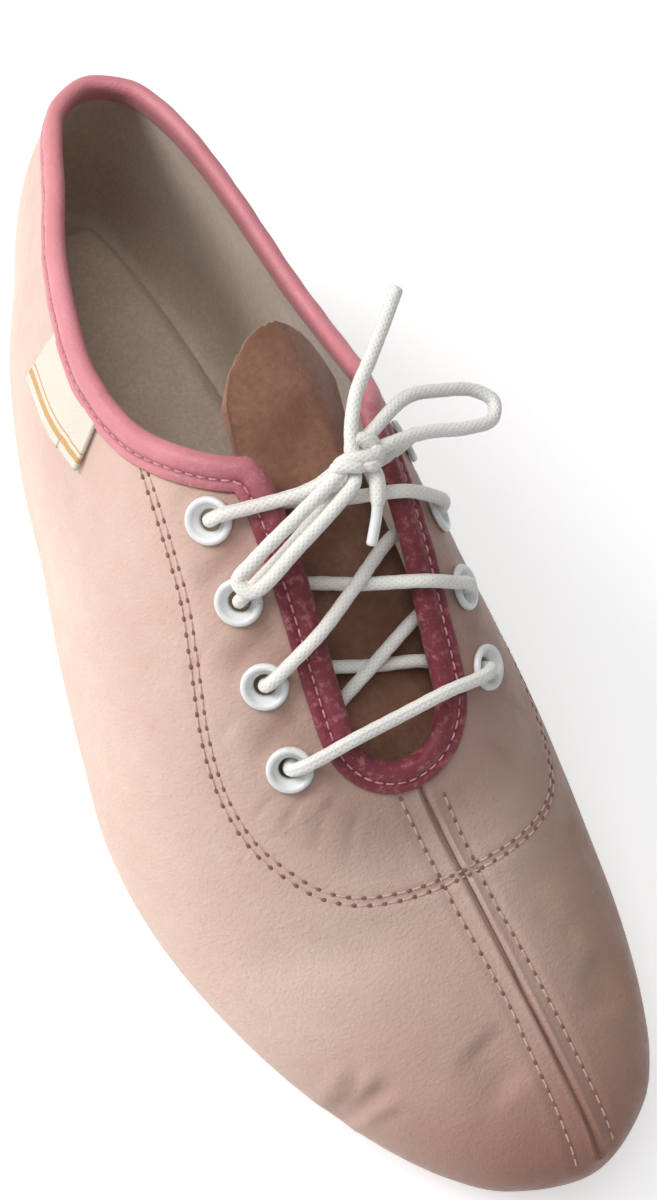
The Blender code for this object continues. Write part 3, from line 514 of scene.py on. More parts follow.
def loft(name, rings, material, wrap=False):
    """A closed solid through rings of equally many points, capped at both ends unless it wraps."""
    rings = np.asarray(rings, float)
    rows, count = rings.shape[:2]
    faces = grid_faces(rows, count, wrap_rows=wrap, wrap_columns=True).tolist()
    if not wrap:
        faces += [list(range(count)), list(range((rows - 1) * count, rows * count))]
    return add_mesh(name, rings, faces, material)


def baked(thing):
    """The object with its modifiers applied."""
    bpy.context.view_layer.update()
    graph = bpy.context.evaluated_depsgraph_get()
    mesh = bpy.data.meshes.new_from_object(thing.evaluated_get(graph))
    thing.modifiers.clear()
    old = thing.data
    thing.data = mesh
    bpy.data.meshes.remove(old)
    mesh.name = thing.name
    return thing


def set_attribute(thing, name, values):
    layer = thing.data.attributes.new(name, "FLOAT", "POINT")
    layer.data.foreach_set("value", np.asarray(values, np.float32))


def vertices(thing):
    out = np.empty(len(thing.data.vertices) * 3)
    thing.data.vertices.foreach_get("co", out)
    return out.reshape(-1, 3)


def resample(path, spacing):
    """The path with points at equal steps along it, and the distance of each from its start."""
    path = np.asarray(path, float)
    along = np.concatenate([[0], np.cumsum(np.linalg.norm(np.diff(path, axis=0), axis=1))])
    count = max(int(round(along[-1] / spacing)), 2) + 1
    at = np.linspace(0, along[-1], count)
    return np.stack([np.interp(at, along, path[:, k]) for k in range(3)], -1), at


def carried_frames(path):
    """Tangents and two normals that are carried along a path without twist."""
    tangent = unit(np.gradient(path, axis=0))
    axis = np.eye(3)[np.argmin(np.abs(tangent[0]))]
    normal = np.empty_like(path)
    normal[0] = np.cross(tangent[0], axis)
    for i in range(len(path)):
        n = normal[max(i - 1, 0)]
        normal[i] = unit(n - tangent[i] * n.dot(tangent[i]))
    return tangent, normal, np.cross(tangent, normal)


def tube(path, radius, sides=20, spacing=0.45 * MM, profile=None, plaits=0.0):
    """Points, faces and UV of a closed tube along a path. profile gives the radius share by distance."""
    path, at = resample(path, spacing)
    _, n, b = carried_frames(path)
    around = np.arange(sides) / sides * 2 * np.pi
    r = np.full((len(path), sides), radius)
    if profile is not None:
        r = r * profile(at, at[-1])[:, None]
    if plaits:
        phase = at[:, None] / (1.9 * MM) * np.pi
        weave = np.maximum(np.cos(4 * around + phase), np.cos(4 * around - phase))
        r = r * (1 + plaits * (weave - 0.6))
    ring = (path[:, None] + r[..., None] * (n[:, None] * np.cos(around)[None, :, None]
                                             + b[:, None] * np.sin(around)[None, :, None]))
    count = len(path)
    points = np.concatenate([ring.reshape(-1, 3), path[:1], path[-1:]])
    faces = grid_faces(count, sides, wrap_columns=True).tolist()
    first, last = count * sides, count * sides + 1
    j = np.arange(sides)
    faces += [[first, int((k + 1) % sides), int(k)] for k in j]
    faces += [[last, (count - 1) * sides + int(k), (count - 1) * sides + int((k + 1) % sides)] for k in j]
    u = np.broadcast_to(np.arange(sides) / sides, (count, sides))
    v = np.broadcast_to((at / MM)[:, None], (count, sides))
    uv = np.concatenate([np.stack([u, v], -1).reshape(-1, 2), [[0, 0]], [[0, at[-1] / MM]]])
    return points, faces, uv


def joined(parts):
    """Several meshes (points, faces, uv) as one."""
    points, faces, uv, start = [], [], [], 0
    for p, f, w in parts:
        points.append(p)
        faces += [[k + start for k in face] for face in f]
        uv.append(w)
        start += len(p)
    return np.concatenate(points), faces, np.concatenate(uv)


class Finish:
    """A node material that is built up in a few lines."""

    def __init__(self, name, roughness=0.6, sheen=0.0, specular=0.5, coat=0.0):
        self.material = bpy.data.materials.new(name)
        self.material.use_nodes = True
        self.tree = self.material.node_tree
        self.shader = self.tree.nodes["Principled BSDF"]
        for key, value in (("Roughness", roughness), ("Sheen Weight", sheen), ("Coat Weight", coat),
                           ("Specular IOR Level", specular)):
            self.shader.inputs[key].default_value = value
        self.place = self.add("ShaderNodeTexCoord").outputs["Object"]

    def add(self, kind, inputs=(), **settings):
        node = self.tree.nodes.new(kind)
        for key, value in settings.items():
            setattr(node, key, value)
        for key, value in dict(inputs).items():
            if isinstance(value, bpy.types.NodeSocket):
                self.tree.links.new(value, node.inputs[key])
            else:
                node.inputs[key].default_value = value
        return node

    def stretched(self, scale):
        return self.add("ShaderNodeVectorMath", {0: self.place, 1: scale}, operation="MULTIPLY").outputs[0]

    def noise(self, scale, detail=3.0, roughness=0.55, place=None, distortion=0.0):
        inputs = {"Vector": place or self.place, "Scale": scale, "Detail": detail, "Roughness": roughness,
                  "Distortion": distortion}
        return self.add("ShaderNodeTexNoise", inputs).outputs[0]

    def cells(self, scale):
        inputs = {"Vector": self.place, "Scale": scale}
        return self.add("ShaderNodeTexVoronoi", inputs).outputs["Distance"]

    def spread(self, value, low, high, out_low=0.0, out_high=1.0):
        inputs = {0: value, 1: low, 2: high, 3: out_low, 4: out_high}
        return self.add("ShaderNodeMapRange", inputs).outputs[0]

    def maths(self, operation, *values):
        return self.add("ShaderNodeMath", dict(enumerate(values)), operation=operation).outputs[0]

    def attribute(self, name):
        return self.add("ShaderNodeAttribute", attribute_name=name).outputs["Fac"]

    def mix(self, share, low, high):
        colour = [(*c, 1.0) if isinstance(c, tuple) else c for c in (low, high)]
        node = self.add("ShaderNodeMix", data_type="RGBA")
        for index, value in ((0, share), (6, colour[0]), (7, colour[1])):
            if isinstance(value, bpy.types.NodeSocket):
                self.tree.links.new(value, node.inputs[index])
            else:
                node.inputs[index].default_value = value
        return node.outputs[2]

    def bump(self, height, distance, strength=1.0, normal=None):
        inputs = {"Height": height, "Distance": distance, "Strength": strength}
        if normal:
            inputs["Normal"] = normal
        return self.add("ShaderNodeBump", inputs).outputs[0]

    def done(self, colour, normal=None, roughness=None):
        for key, value in (("Base Color", colour), ("Normal", normal), ("Roughness", roughness)):
            if value is not None:
                self.tree.links.new(value, self.shader.inputs[key])
        return self.material


def leather():
    """Thin pink kid leather: fine grain, soft mottling, painted shade darker in folds, at the throat and
    higher up, painted shade browner at toe and medial side, with a dark seam line and darker towards the
    bottom.
    """
    f = Finish("pink_leather_worn_and_shaded", roughness=0.5, sheen=0.12, specular=0.35)
    f.shader.inputs["Sheen Roughness"].default_value = 0.5
    broad = f.spread(f.noise(28, 3), 0.35, 0.65)
    mottled = f.spread(f.noise(190, 4), 0.3, 0.7)
    colour = f.mix(broad, (0.750, 0.545, 0.455), (0.800, 0.610, 0.520))
    colour = f.mix(f.spread(mottled, 0, 1, 0, 0.30), colour, (0.690, 0.450, 0.350))
    where = f.add("ShaderNodeSeparateXYZ", {0: f.place})
    # painted shade: the toe and, below, the medial side are mixed towards brown where they fall away from the
    # light
    toe = f.spread(where.outputs[1], -0.145, -0.202, 0, 0.95)
    colour = f.mix(toe, colour, (0.310, 0.140, 0.100))
    medial = f.spread(where.outputs[0], 0.008, 0.034, 0, 0.95)
    colour = f.mix(medial, colour, (0.340, 0.185, 0.120))
    # the attribute mixes in painted shade at folds, throat and upper quarter, with the dark seam line and the
    # darker bottom
    colour = f.mix(f.maths("MULTIPLY", f.attribute("shade_and_grime"), 0.85), colour, (0.200, 0.080, 0.060))
    speck = f.spread(f.noise(900, 2), 0.62, 0.80, 0, 0.25)
    colour = f.mix(speck, colour, (0.420, 0.230, 0.190))
    lines = f.noise(420, 5, 0.7, place=f.stretched((1.0, 2.6, 1.6)), distortion=0.6)
    soft = f.bump(f.noise(120, 3), 0.45 * MM, 0.5)
    soft = f.bump(lines, 0.30 * MM, 0.6, soft)
    soft = f.bump(f.cells(1500), 0.10 * MM, 0.7, soft)
    soft = f.bump(f.noise(2600, 2), 0.04 * MM, 0.6, soft)
    rough = f.spread(f.noise(240, 3), 0.3, 0.7, 0.44, 0.62)
    return f.done(colour, soft, rough)


def cloth(name, low, high, scale=900, deep=0.12 * MM, sheen=0.3, roughness=0.85, coarse=80):
    """A matt fibrous surface, such as suede, lining or the flesh side of leather."""
    f = Finish(name, roughness=roughness, sheen=sheen, specular=0.2)
    colour = f.mix(f.spread(f.noise(coarse, 3), 0.3, 0.7), low, high)
    fibres = f.spread(f.noise(scale, 4, 0.7), 0.35, 0.75, 0, 0.55)
    colour = f.mix(fibres, colour, tuple(0.62 * c for c in low))
    normal = f.bump(f.noise(scale, 5, 0.75), deep, 0.8)
    normal = f.bump(f.noise(scale * 2.6, 3, 0.7), deep * 0.5, 0.8, normal)
    return f.done(colour, normal)


def binding_leather():
    f = Finish("deep_pink_binding_worn_and_shaded", roughness=0.5, sheen=0.1, specular=0.4)
    # painted light and shade: a lit red-pink on the collar and a dark painted-shade copy on the throat,
    # blended along y
    collar = f.mix(f.spread(f.noise(45, 3), 0.3, 0.7), (0.600, 0.205, 0.235), (0.690, 0.265, 0.295))
    throat = f.mix(f.spread(f.noise(60, 3), 0.3, 0.7), (0.170, 0.026, 0.038), (0.240, 0.044, 0.060))
    along = f.add("ShaderNodeSeparateXYZ", {0: f.place}).outputs[1]
    colour = f.mix(f.spread(along, -0.052, -0.074), collar, throat)
    colour = f.mix(f.spread(f.noise(620, 5, 0.65), 0.52, 0.72, 0, 0.55), colour, (0.640, 0.270, 0.300))
    # painted shade in the stitch groove and along the outer leaf's edge, from the attribute
    colour = f.mix(f.maths("MULTIPLY", f.attribute("shade_and_grime"), 0.75), colour, (0.150, 0.018, 0.032))
    normal = f.bump(f.noise(330, 3), 0.25 * MM, 0.6)
    normal = f.bump(f.cells(1700), 0.09 * MM, 0.7, normal)
    return f.done(colour, normal, f.spread(f.noise(300, 3), 0.3, 0.7, 0.42, 0.60))


def cotton():
    """Braided cotton: diagonal plaits from the UV, which runs round the cord and along it in mm."""
    f = Finish("white_cotton_braid", roughness=0.85, sheen=0.4, specular=0.2)
    uv = f.add("ShaderNodeSeparateXYZ", {0: f.add("ShaderNodeTexCoord").outputs["UV"]})
    around = f.maths("MULTIPLY", uv.outputs[0], 16 * math.pi)
    along = f.maths("MULTIPLY", uv.outputs[1], 2 * math.pi / 1.25)
    one = f.maths("SINE", f.maths("ADD", around, along))
    two = f.maths("SINE", f.maths("SUBTRACT", around, along))
    plait = f.maths("MAXIMUM", one, two)
    fibre = f.noise(1500, 4, 0.7)
    # painted shade: the braid is darker in its grooves and lighter on its ridges, following the plait
    colour = f.mix(f.spread(plait, -0.9, 0.9), (0.740, 0.715, 0.665), (0.880, 0.870, 0.840))
    colour = f.mix(f.spread(f.noise(110, 3), 0.4, 0.7, 0, 0.3), colour, (0.760, 0.725, 0.660))
    normal = f.bump(plait, 0.07 * MM, 0.5)
    normal = f.bump(fibre, 0.10 * MM, 0.7, normal)
    return f.done(colour, normal)


def enamel():
    f = Finish("white_enamel_worn", roughness=0.32, specular=0.5, coat=0.25)
    worn = f.spread(f.noise(600, 5, 0.7), 0.60, 0.72)
    colour = f.mix(worn, (0.780, 0.800, 0.800), (0.500, 0.520, 0.530))
    rough = f.spread(f.noise(400, 3), 0.3, 0.7, 0.25, 0.45)
    return f.done(colour, f.bump(f.noise(700, 4), 0.05 * MM, 0.5), rough)


def ribbon():
    """White woven ribbon with two plain ochre stripes along its fold."""
    f = Finish("white_ribbon_woven", roughness=0.7, sheen=0.35, specular=0.3)
    uv = f.add("ShaderNodeSeparateXYZ", {0: f.add("ShaderNodeTexCoord").outputs["UV"]})
    weft = f.maths("SINE", f.maths("MULTIPLY", uv.outputs[0], 2 * math.pi * 46))
    warp = f.maths("SINE", f.maths("MULTIPLY", uv.outputs[1], 2 * math.pi * 30))
    weave = f.maths("MULTIPLY", weft, warp)
    band = f.maths("COMPARE", uv.outputs[1], 0.80, 0.055)
    thin = f.maths("COMPARE", uv.outputs[1], 0.655, 0.016)
    stripe = f.maths("MAXIMUM", band, thin)
    colour = f.mix(stripe, (0.800, 0.740, 0.650), (0.620, 0.330, 0.060))
    # painted shade: darker in the hollows of the weave
    colour = f.mix(f.spread(weave, -1, 1, 0.3, 0), colour, (0.450, 0.380, 0.300))
    return f.done(colour, f.bump(weave, 0.06 * MM, 0.7))


def thread(name, low, high):
    f = Finish(name, roughness=0.7, sheen=0.3)
    colour = f.mix(f.spread(f.noise(900, 3), 0.3, 0.7), low, high)
    return f.done(colour, f.bump(f.noise(2200, 3), 0.05 * MM, 0.8))


LEATHER = leather()
LINING = cloth("pale_lining_cloth", (0.62, 0.50, 0.40), (0.72, 0.61, 0.50), 1100, 0.08 * MM)
SUEDE = cloth("brown_suede_sole", (0.20, 0.125, 0.095), (0.29, 0.19, 0.145), 800, 0.2 * MM, 0.4, 0.95)
# the tongue's own brown flesh, darkened further as painted shade
FLESH = cloth("mauve_flesh_leather_shaded", (0.225, 0.105, 0.065), (0.350, 0.185, 0.122), 750, 0.16 * MM, 0.35,
              0.9)
BINDING = binding_leather()
COTTON = cotton()
ENAMEL = enamel()
RIBBON = ribbon()
THREAD = thread("mauve_thread", (0.600, 0.390, 0.330), (0.720, 0.490, 0.420))
# painted shade: the dark colour of the stitch holes, also used for the dark line of the seam
PIT = thread("stitch_hole_shade_and_seam_line", (0.200, 0.095, 0.082), (0.270, 0.135, 0.115))
BINDING_THREAD = thread("pink_thread", (0.520, 0.170, 0.205), (0.680, 0.330, 0.360))


def eyelet_seats():
    """Place and outward normal of each eyelet: lateral side from the top down, then medial."""
    seats = []
    for side in (LATERAL, MEDIAL):
        for s in np.linspace(CORNER + EYELET_TOP_OFFSET, THROAT_END - EYELET_END_OFFSET, EYELET_COUNT):
            seats.append(by_line(s, side * EYELET_HALF))
    return seats


SEATS = eyelet_seats()


def segments_distance(points, line, fade=False):
    """Distance of each point from a polyline, and with fade how full a crease is there, less at its ends."""
    best = np.full(len(points), 1e9)
    share = np.zeros(len(points))
    for k, (a, b) in enumerate(zip(line[:-1], line[1:])):
        ab = b - a
        u = np.clip((points - a) @ ab / (ab @ ab), 0, 1)
        d = np.linalg.norm(points - a - u[:, None] * ab, axis=1)
        share = np.where(d < best, (k + u) / (len(line) - 1), share)
        best = np.minimum(best, d)
    if not fade:
        return best
    full = np.clip(np.minimum(share, 1 - share) / 0.3, 0, 1)
    return best, full * full * (3 - 2 * full)


def placed_line(line, spans=4):
    """A line of (x, s), or of (x, s, z) on the steep side, in mm as points on the form."""
    places = []
    for point in line:
        x, s, *z = (value * MM for value in point)
        places.append(on_form(world(x, s, *z))[0] if z else drop_on_form(x, s)[0])
    return np.array([on_form(p)[0] for p in round_curve(places, spans)])


CREASE_LINES = [placed_line(crease.line) for crease in CREASES]
THROAT_LINE = np.array([by_line(s * MM)[0] for s in (104, 120, 136, 150)])
SEAM_LINE = np.array([by_line(s)[0] for s in np.linspace(THROAT_END, 0.985 * LENGTH, 60)])


def row_on_form(row):
    """A row of (s, x from the middle line) in mm as points on the form."""
    smooth = round_curve([(s, x, 0) for s, x in row], 6)
    return np.array([by_line(s * MM, x * MM)[0] for s, x, _ in smooth])


def led_to_binding(row, side, station):
    """A row carried on in one bend, from its last point up to the binding of the collar."""
    station = np.array([station])
    edge = form(side, station, rim_angle(side, station))[0]
    bend = row[-1] + unit(row[-1] - row[-3]) * 11 * MM
    edge = edge + unit(bend - edge) * (BINDING_WIDTH + 0.8 * MM)
    steps = np.linspace(0, 1, 15)[1:, None]
    led = (1 - steps) ** 2 * row[-1] + 2 * steps * (1 - steps) * bend + steps ** 2 * edge
    return np.concatenate([row, [on_form(p)[0] for p in led]])


ROWS = {name: row_on_form(row) for name, row in
        (("seam_lateral", SEAM_ROW_LATERAL), ("seam_medial", SEAM_ROW_MEDIAL), ("panel", PANEL_ROW))}
ROWS["panel"] = led_to_binding(ROWS["panel"], MEDIAL, 90 * MM / LENGTH)


def relief(points):
    """How far each point of the leather stands out of the form."""
    out = np.zeros(len(points))
    for crease, line in zip(CREASES, CREASE_LINES):
        d, full = segments_distance(points, line, fade=True)
        d = d / (crease.width * MM)
        trough = np.exp(-d ** 2)
        ridges = crease.ridge * np.exp(-((d - 1.9) / 0.8) ** 2)
        out += crease.depth * MM * full * (ridges - trough)
    d = segments_distance(points, SEAM_LINE) / MM
    out += MM * (-0.60 * np.exp(-(d / 0.45) ** 2) + 0.42 * np.exp(-((d - 1.2) / 0.65) ** 2))
    for name, wide in (("seam_lateral", 0.9), ("seam_medial", 0.9), ("panel", 1.3)):
        d = segments_distance(points, ROWS[name]) / MM
        out += MM * (-0.22 * np.exp(-(d / wide) ** 2) + 0.12 * np.exp(-((d - 2.2) / 1.0) ** 2))
    near = np.min([np.linalg.norm(points - seat, axis=1) for seat, _ in SEATS], axis=0) / MM
    calm = np.clip((near - 5.5) / 4, 0, 1)
    return out * calm - 0.25 * MM * np.exp(-((near - 6.0) / 1.5) ** 2)


def shade_and_grime(points):
    """How much the leather is darkened, from 0 to 1: painted shade in the folds, near the throat and higher
    up, with the dark line of the seam and a darkening towards the bottom.
    """
    out = np.zeros(len(points))
    # painted shade in the narrow folds and puckers
    for crease, line in zip(CREASES, CREASE_LINES):
        if crease.width < 3:
            d, full = segments_distance(points, line, fade=True)
            out += 0.5 * min(crease.depth, 0.8) * full * np.exp(-(d / (0.8 * crease.width * MM)) ** 2)
    out += 0.95 * np.exp(-(segments_distance(points, SEAM_LINE) / (0.40 * MM)) ** 2)
    # darker towards the bottom
    low = np.clip((14 * MM - points[:, 2]) / (10 * MM), 0, 1)
    # painted shade near the throat and, by height, on the upper quarter
    throat = np.clip((31 * MM - segments_distance(points, THROAT_LINE)) / (12 * MM), 0, 1)
    high = np.clip((points[:, 2] - 28 * MM) / (20 * MM), 0, 1)
    return np.clip(out + 0.25 * low + 0.40 * throat + 0.20 * high, 0, 1)


def make_upper():
    """One hollow wall of leather with its seam, creases and eyelet holes."""
    ts = stations(4)
    ends = {}
    beyond = ts >= THROAT_T - 1e-9
    seam = seam_angle(ts[beyond])
    for side in (LATERAL, MEDIAL):
        ends[side] = rim_angle(side, ts)
        ends[side][beyond] = seam if side == LATERAL else np.pi - seam
    rows_over = 52
    u = np.linspace(0, 1, rows_over + 1)
    share = 1 - (1 - u) * (0.35 + 0.65 * (1 - u))
    ribs = []
    for side in (LATERAL, MEDIAL):
        run = ts if side == LATERAL else ts[-2:0:-1]
        end = ends[side] if side == LATERAL else ends[side][-2:0:-1]
        under = [tuck(side, run, 1, LASTING_WIDTH * (1 - j / 5)) for j in range(5)]
        under += [tuck(side, run, 1 - j / 8) for j in range(8)]
        over = [form(side, run, end * w) for w in share]
        ribs.append(np.stack(under + over, 1))
    points = np.concatenate(ribs)
    ring, rows = points.shape[:2]
    number = np.arange(ring * rows).reshape(ring, rows)
    first = int(np.argmax(beyond))
    for i in range(first, len(ts) - 1):
        number[ring - i, rows - 1] = number[i, rows - 1]
    flat = points.reshape(-1, 3)
    quads = number.ravel()[grid_faces(ring, rows, wrap_rows=True)]
    faces = [list(dict.fromkeys(q)) for q in quads.tolist()]
    faces = [f[::-1] for f in faces if len(f) > 2]
    upper = add_mesh("upper_leather", flat, faces, LEATHER, closed=False)
    work = bmesh.new()
    work.from_mesh(upper.data)
    loose = [v for v in work.verts if not v.link_faces]
    bmesh.ops.delete(work, geom=loose, context="VERTS")
    work.normal_update()
    place = np.array([v.co for v in work.verts])
    normal = np.array([v.normal for v in work.verts])
    flip = np.sign(np.sum(normal[:, 2] * (place[:, 2] > 30 * MM)))
    moved = place + normal * flip * relief(place)[:, None]
    for v, p in zip(work.verts, moved):
        v.co = p
    if flip < 0:
        bmesh.ops.reverse_faces(work, faces=work.faces)
    work.to_mesh(upper.data)
    work.free()
    upper.data.materials.append(LINING)
    skin = BVHTree.FromPolygons([v.co.copy() for v in upper.data.vertices],
                                [tuple(p.vertices) for p in upper.data.polygons])
    shell = upper.modifiers.new("wall", "SOLIDIFY")
    shell.thickness = WALL
    shell.offset = -1
    shell.use_even_offset = False
    shell.material_offset = 1
    cutter = make_cutter()
    cut = upper.modifiers.new("eyelet_holes", "BOOLEAN")
    cut.operation = "DIFFERENCE"
    cut.solver = "EXACT"
    cut.object = cutter
    baked(upper)
    bpy.data.objects.remove(cutter)
    # painted shade, the seam line and the darker bottom, kept as an attribute for the leather's colour
    set_attribute(upper, "shade_and_grime", shade_and_grime(vertices(upper)))
    upper.data.shade_smooth()
    upper.data.set_sharp_from_angle(angle=math.radians(50))
    return upper, skin


def make_cutter():
    """One object of eight short rods through the eyelets' places."""
    radius = EYELET_BORE_RADIUS + EYELET_METAL + GAP / 2
    parts = []
    for centre, way in SEATS:
        rod = np.stack([centre - way * 4 * WALL, centre + way * 3 * WALL])
        parts.append(tube(rod, radius, sides=28, spacing=8 * WALL))
    points, faces, _ = joined(parts)
    return add_mesh("eyelet_cutter", points, faces, None)


UPPER, SKIN = make_upper()


def on_skin(point):
    """Nearest point of the finished leather and its outward normal."""
    return found(SKIN.find_nearest(Vector(point)))


def stitch_row(points, length):
    """Threads, and the dark pits between them that paint the shade in the stitch holes, along a row on the
    leather.
    """
    row, _ = resample(points, STITCH_PITCH)
    threads, pits = [], []
    for a, b in zip(row[:-1], row[1:]):
        middle, normal = on_skin((a + b) / 2)
        way = unit(b - a)
        bow = [middle + way * length * k + normal * h for k, h in
               ((-0.52, -THREAD_END_DEPTH), (-0.40, 0.02 * MM), (-0.2, THREAD_LIFT), (0.2, THREAD_LIFT),
                (0.40, 0.02 * MM), (0.52, -THREAD_END_DEPTH))]
        threads.append(tube(round_curve(bow, 2), THREAD_RADIUS, sides=8, spacing=0.18 * MM))
        # a dark capsule sunk at each hole paints its shade
        place, normal = on_skin(a)
        dip = [place + way * k + normal * -0.10 * MM for k in (-0.60 * MM, 0.60 * MM)]
        pits.append(tube(dip, PIT_RADIUS, sides=8, spacing=0.15 * MM, profile=bead))
    return threads, pits


def bead(at, total):
    """A rounded profile, for a hole that narrows at both ends."""
    u = 2 * at / total - 1
    return np.sqrt(np.clip(1 - u ** 2, 0.02, 1))


def make_stitches():
    """The rows of stitches as threads, and as pits the painted shade in their holes with the dark line of the
    seam.
    """
    threads, pits = [], []
    ring = ROWS["panel"]
    across = np.cross(unit(np.gradient(ring, axis=0)), [on_skin(p)[1] for p in ring])
    rows = [(ring + across * shift, PANEL_STITCH) for shift in (-PANEL_ROWS_APART / 2, PANEL_ROWS_APART / 2)]
    rows += [(ROWS[name], SEAM_STITCH) for name in ("seam_lateral", "seam_medial")]
    for row, length in rows:
        t, p = stitch_row(row, length)
        threads, pits = threads + t, pits + p
    seam = np.array([on_skin(p)[0] for p in SEAM_LINE[2:]])
    for _ in range(6):
        seam[1:-1] = (seam[:-2] + 2 * seam[1:-1] + seam[2:]) / 4
    seam = round_curve(seam, 4)
    pits.append(tube(seam, SEAM_LINE_RADIUS, sides=8, spacing=0.5 * MM))
    out = []
    for name, parts, material in (("stitch_threads", threads, THREAD), ("stitch_hole_shades_and_seam_line", pits, PIT)):
        points, faces, _ = joined(parts)
        out.append(add_mesh(name, points, faces, material))
    return out


def rim_frames(fine):
    """Along the folded edge: the point, the outward normal and the way into the leather."""
    ts = stations(fine)
    ts = np.concatenate([ts[ts < THROAT_T - 1e-9], [THROAT_T]])
    lateral = form(LATERAL, ts, rim_angle(LATERAL, ts))[::-1]
    medial = form(MEDIAL, ts, rim_angle(MEDIAL, ts))[1:-1]
    ring = np.concatenate([lateral, medial])
    ring = resample(np.concatenate([ring, ring[:1]]), BINDING_STEP)[0][:-1]
    along = unit(np.roll(ring, -1, axis=0) - np.roll(ring, 1, axis=0))
    normal = np.array([on_form(p)[1] for p in ring])
    for _ in range(4):
        normal = eased(normal)
    normal = unit(normal - along * np.sum(normal * along, axis=1)[:, None])
    return ring, normal, np.cross(normal, along)


def make_binding():
    """A strip folded over the edge of collar and throat, with a sunken row of stitches."""
    ring, normal, inward = rim_frames(6)
    count = len(ring)
    outer = [(5.50, 0.05), (5.66, 0.30), (5.60, 0.62), (5.35, 0.84), (4.95, 0.95), (4.55, 0.98), (4.20, 0.92),
             (3.85, 0.78), (3.40, 0.68), (2.95, 0.84), (2.30, 1.12), (1.50, 1.22), (0.70, 1.14), (0.10, 0.88),
             (-0.45, 0.40), (-0.85, -0.25), (-0.95, -0.90), (-0.75, -1.60), (-0.20, -2.15), (0.60, -2.40),
             (2.00, -2.45), (3.40, -2.35), (4.60, -2.30), (5.30, -2.10), (5.50, -1.80), (5.30, -1.55)]
    inner = [(3.50, -1.55), (1.50, -1.55), (0.10, -1.55), (-0.30, -0.80), (0.00, 0.05), (1.50, 0.05),
             (3.50, 0.05)]
    section = [(d * MM, o * MM) for d, o in outer + inner]
    wobble = 1 + 0.05 * np.sin(np.arange(count) * BINDING_STEP / (9.0 * MM) * 2 * np.pi)
    rings = np.empty((count, len(section), 3))
    base = {}
    for d in sorted({d for d, _ in section}):
        if d > 0:
            place, way = (np.array(part) for part in zip(*(on_skin(p) for p in ring + inward * d)))
            for _ in range(3 + int(2.2 * d / MM)):
                place, way = eased(place), eased(way)
            base[d] = place, unit(way)
        else:
            base[d] = ring + inward * d, normal
    for k, (d, o) in enumerate(section):
        place, way = base[d]
        puff = o * wobble[:, None] if o > 0.3 * MM else o
        rings[:, k] = place + way * puff
    binding = loft("binding_folded", rings, BINDING, wrap=True)
    points = vertices(binding)
    # painted shade: darker in the stitch groove and along the free edge of the outer leaf
    groove_and_edge_shade = [(math.exp(-((d - BINDING_GROOVE) / (0.45 * MM)) ** 2) + 0.8 * (d > 5.4 * MM)) * (o > 0)
            for d, o in section]
    set_attribute(binding, "shade_and_grime", np.clip(np.tile(groove_and_edge_shade, count)[:len(points)], 0, 1))
    place, way = base[BINDING_GROOVE]
    line = np.concatenate([place, place[:1]]) + np.concatenate([way, way[:1]]) * 0.70 * MM
    row, _ = resample(line, BINDING_STITCH_PITCH)
    ways = np.concatenate([way, way[:1]])
    threads = []
    for a, b in zip(row[:-1], row[1:]):
        middle = (a + b) / 2
        up = ways[int(np.argmin(np.linalg.norm(line - middle, axis=1)))]
        step = unit(b - a)
        bow = [middle + step * k + up * h for k, h in
               ((-0.85 * MM, -0.25 * MM), (-0.5 * MM, 0.06 * MM), (0, 0.14 * MM), (0.5 * MM, 0.06 * MM),
                (0.85 * MM, -0.25 * MM))]
        threads.append(tube(round_curve(bow, 2), 0.20 * MM, sides=7, spacing=0.2 * MM))
    points, faces, _ = joined(threads)
    stitches = add_mesh("binding_stitches", points, faces, BINDING_THREAD)
    return binding, stitches


def make_eyelet(name, seat):
    """A turned ring: domed flange outside, barrel through the wall, rolled washer inside."""
    bore, barrel = EYELET_BORE_RADIUS, EYELET_BORE_RADIUS + EYELET_METAL
    flange, washer = EYELET_FLANGE_RADIUS, EYELET_WASHER_RADIUS
    top, back = GAP + EYELET_DOME, -WALL - 0.2 * MM
    rim = 0.72 * MM
    middle = flange - rim
    outer = [(bore, -0.6 * MM), (bore + 0.15 * MM, -0.2 * MM), (bore + 0.5 * MM, 0.12 * MM)]
    for k in range(11):
        a = math.pi * (0.12 + 0.88 * k / 10)
        outer.append((middle - rim * math.cos(a), (top - 0.30 * MM) * math.sin(a) ** 0.8 + 0.30 * MM))
    profile = outer + [(flange - 0.25 * MM, 0.05 * MM), (barrel + 0.3 * MM, 0.05 * MM), (barrel, -0.1 * MM),
                       (barrel, back), (washer, back), (washer + 0.1 * MM, back - EYELET_METAL / 2),
                       (washer, back - EYELET_METAL), (bore + 0.3 * MM, back - 1.3 * EYELET_METAL),
                       (bore, back - EYELET_METAL)]
    sides = 48
    centre, way = (Vector(part) for part in seat)
    turn = way.to_track_quat("Z", "Y").to_matrix()
    rings = []
    for k in range(sides):
        a = 2 * math.pi * k / sides
        rings.append([centre + turn @ Vector((r * math.cos(a), r * math.sin(a), z)) for r, z in profile])
    return loft(name, np.array([[tuple(p) for p in ring] for ring in rings]), ENAMEL, wrap=True)


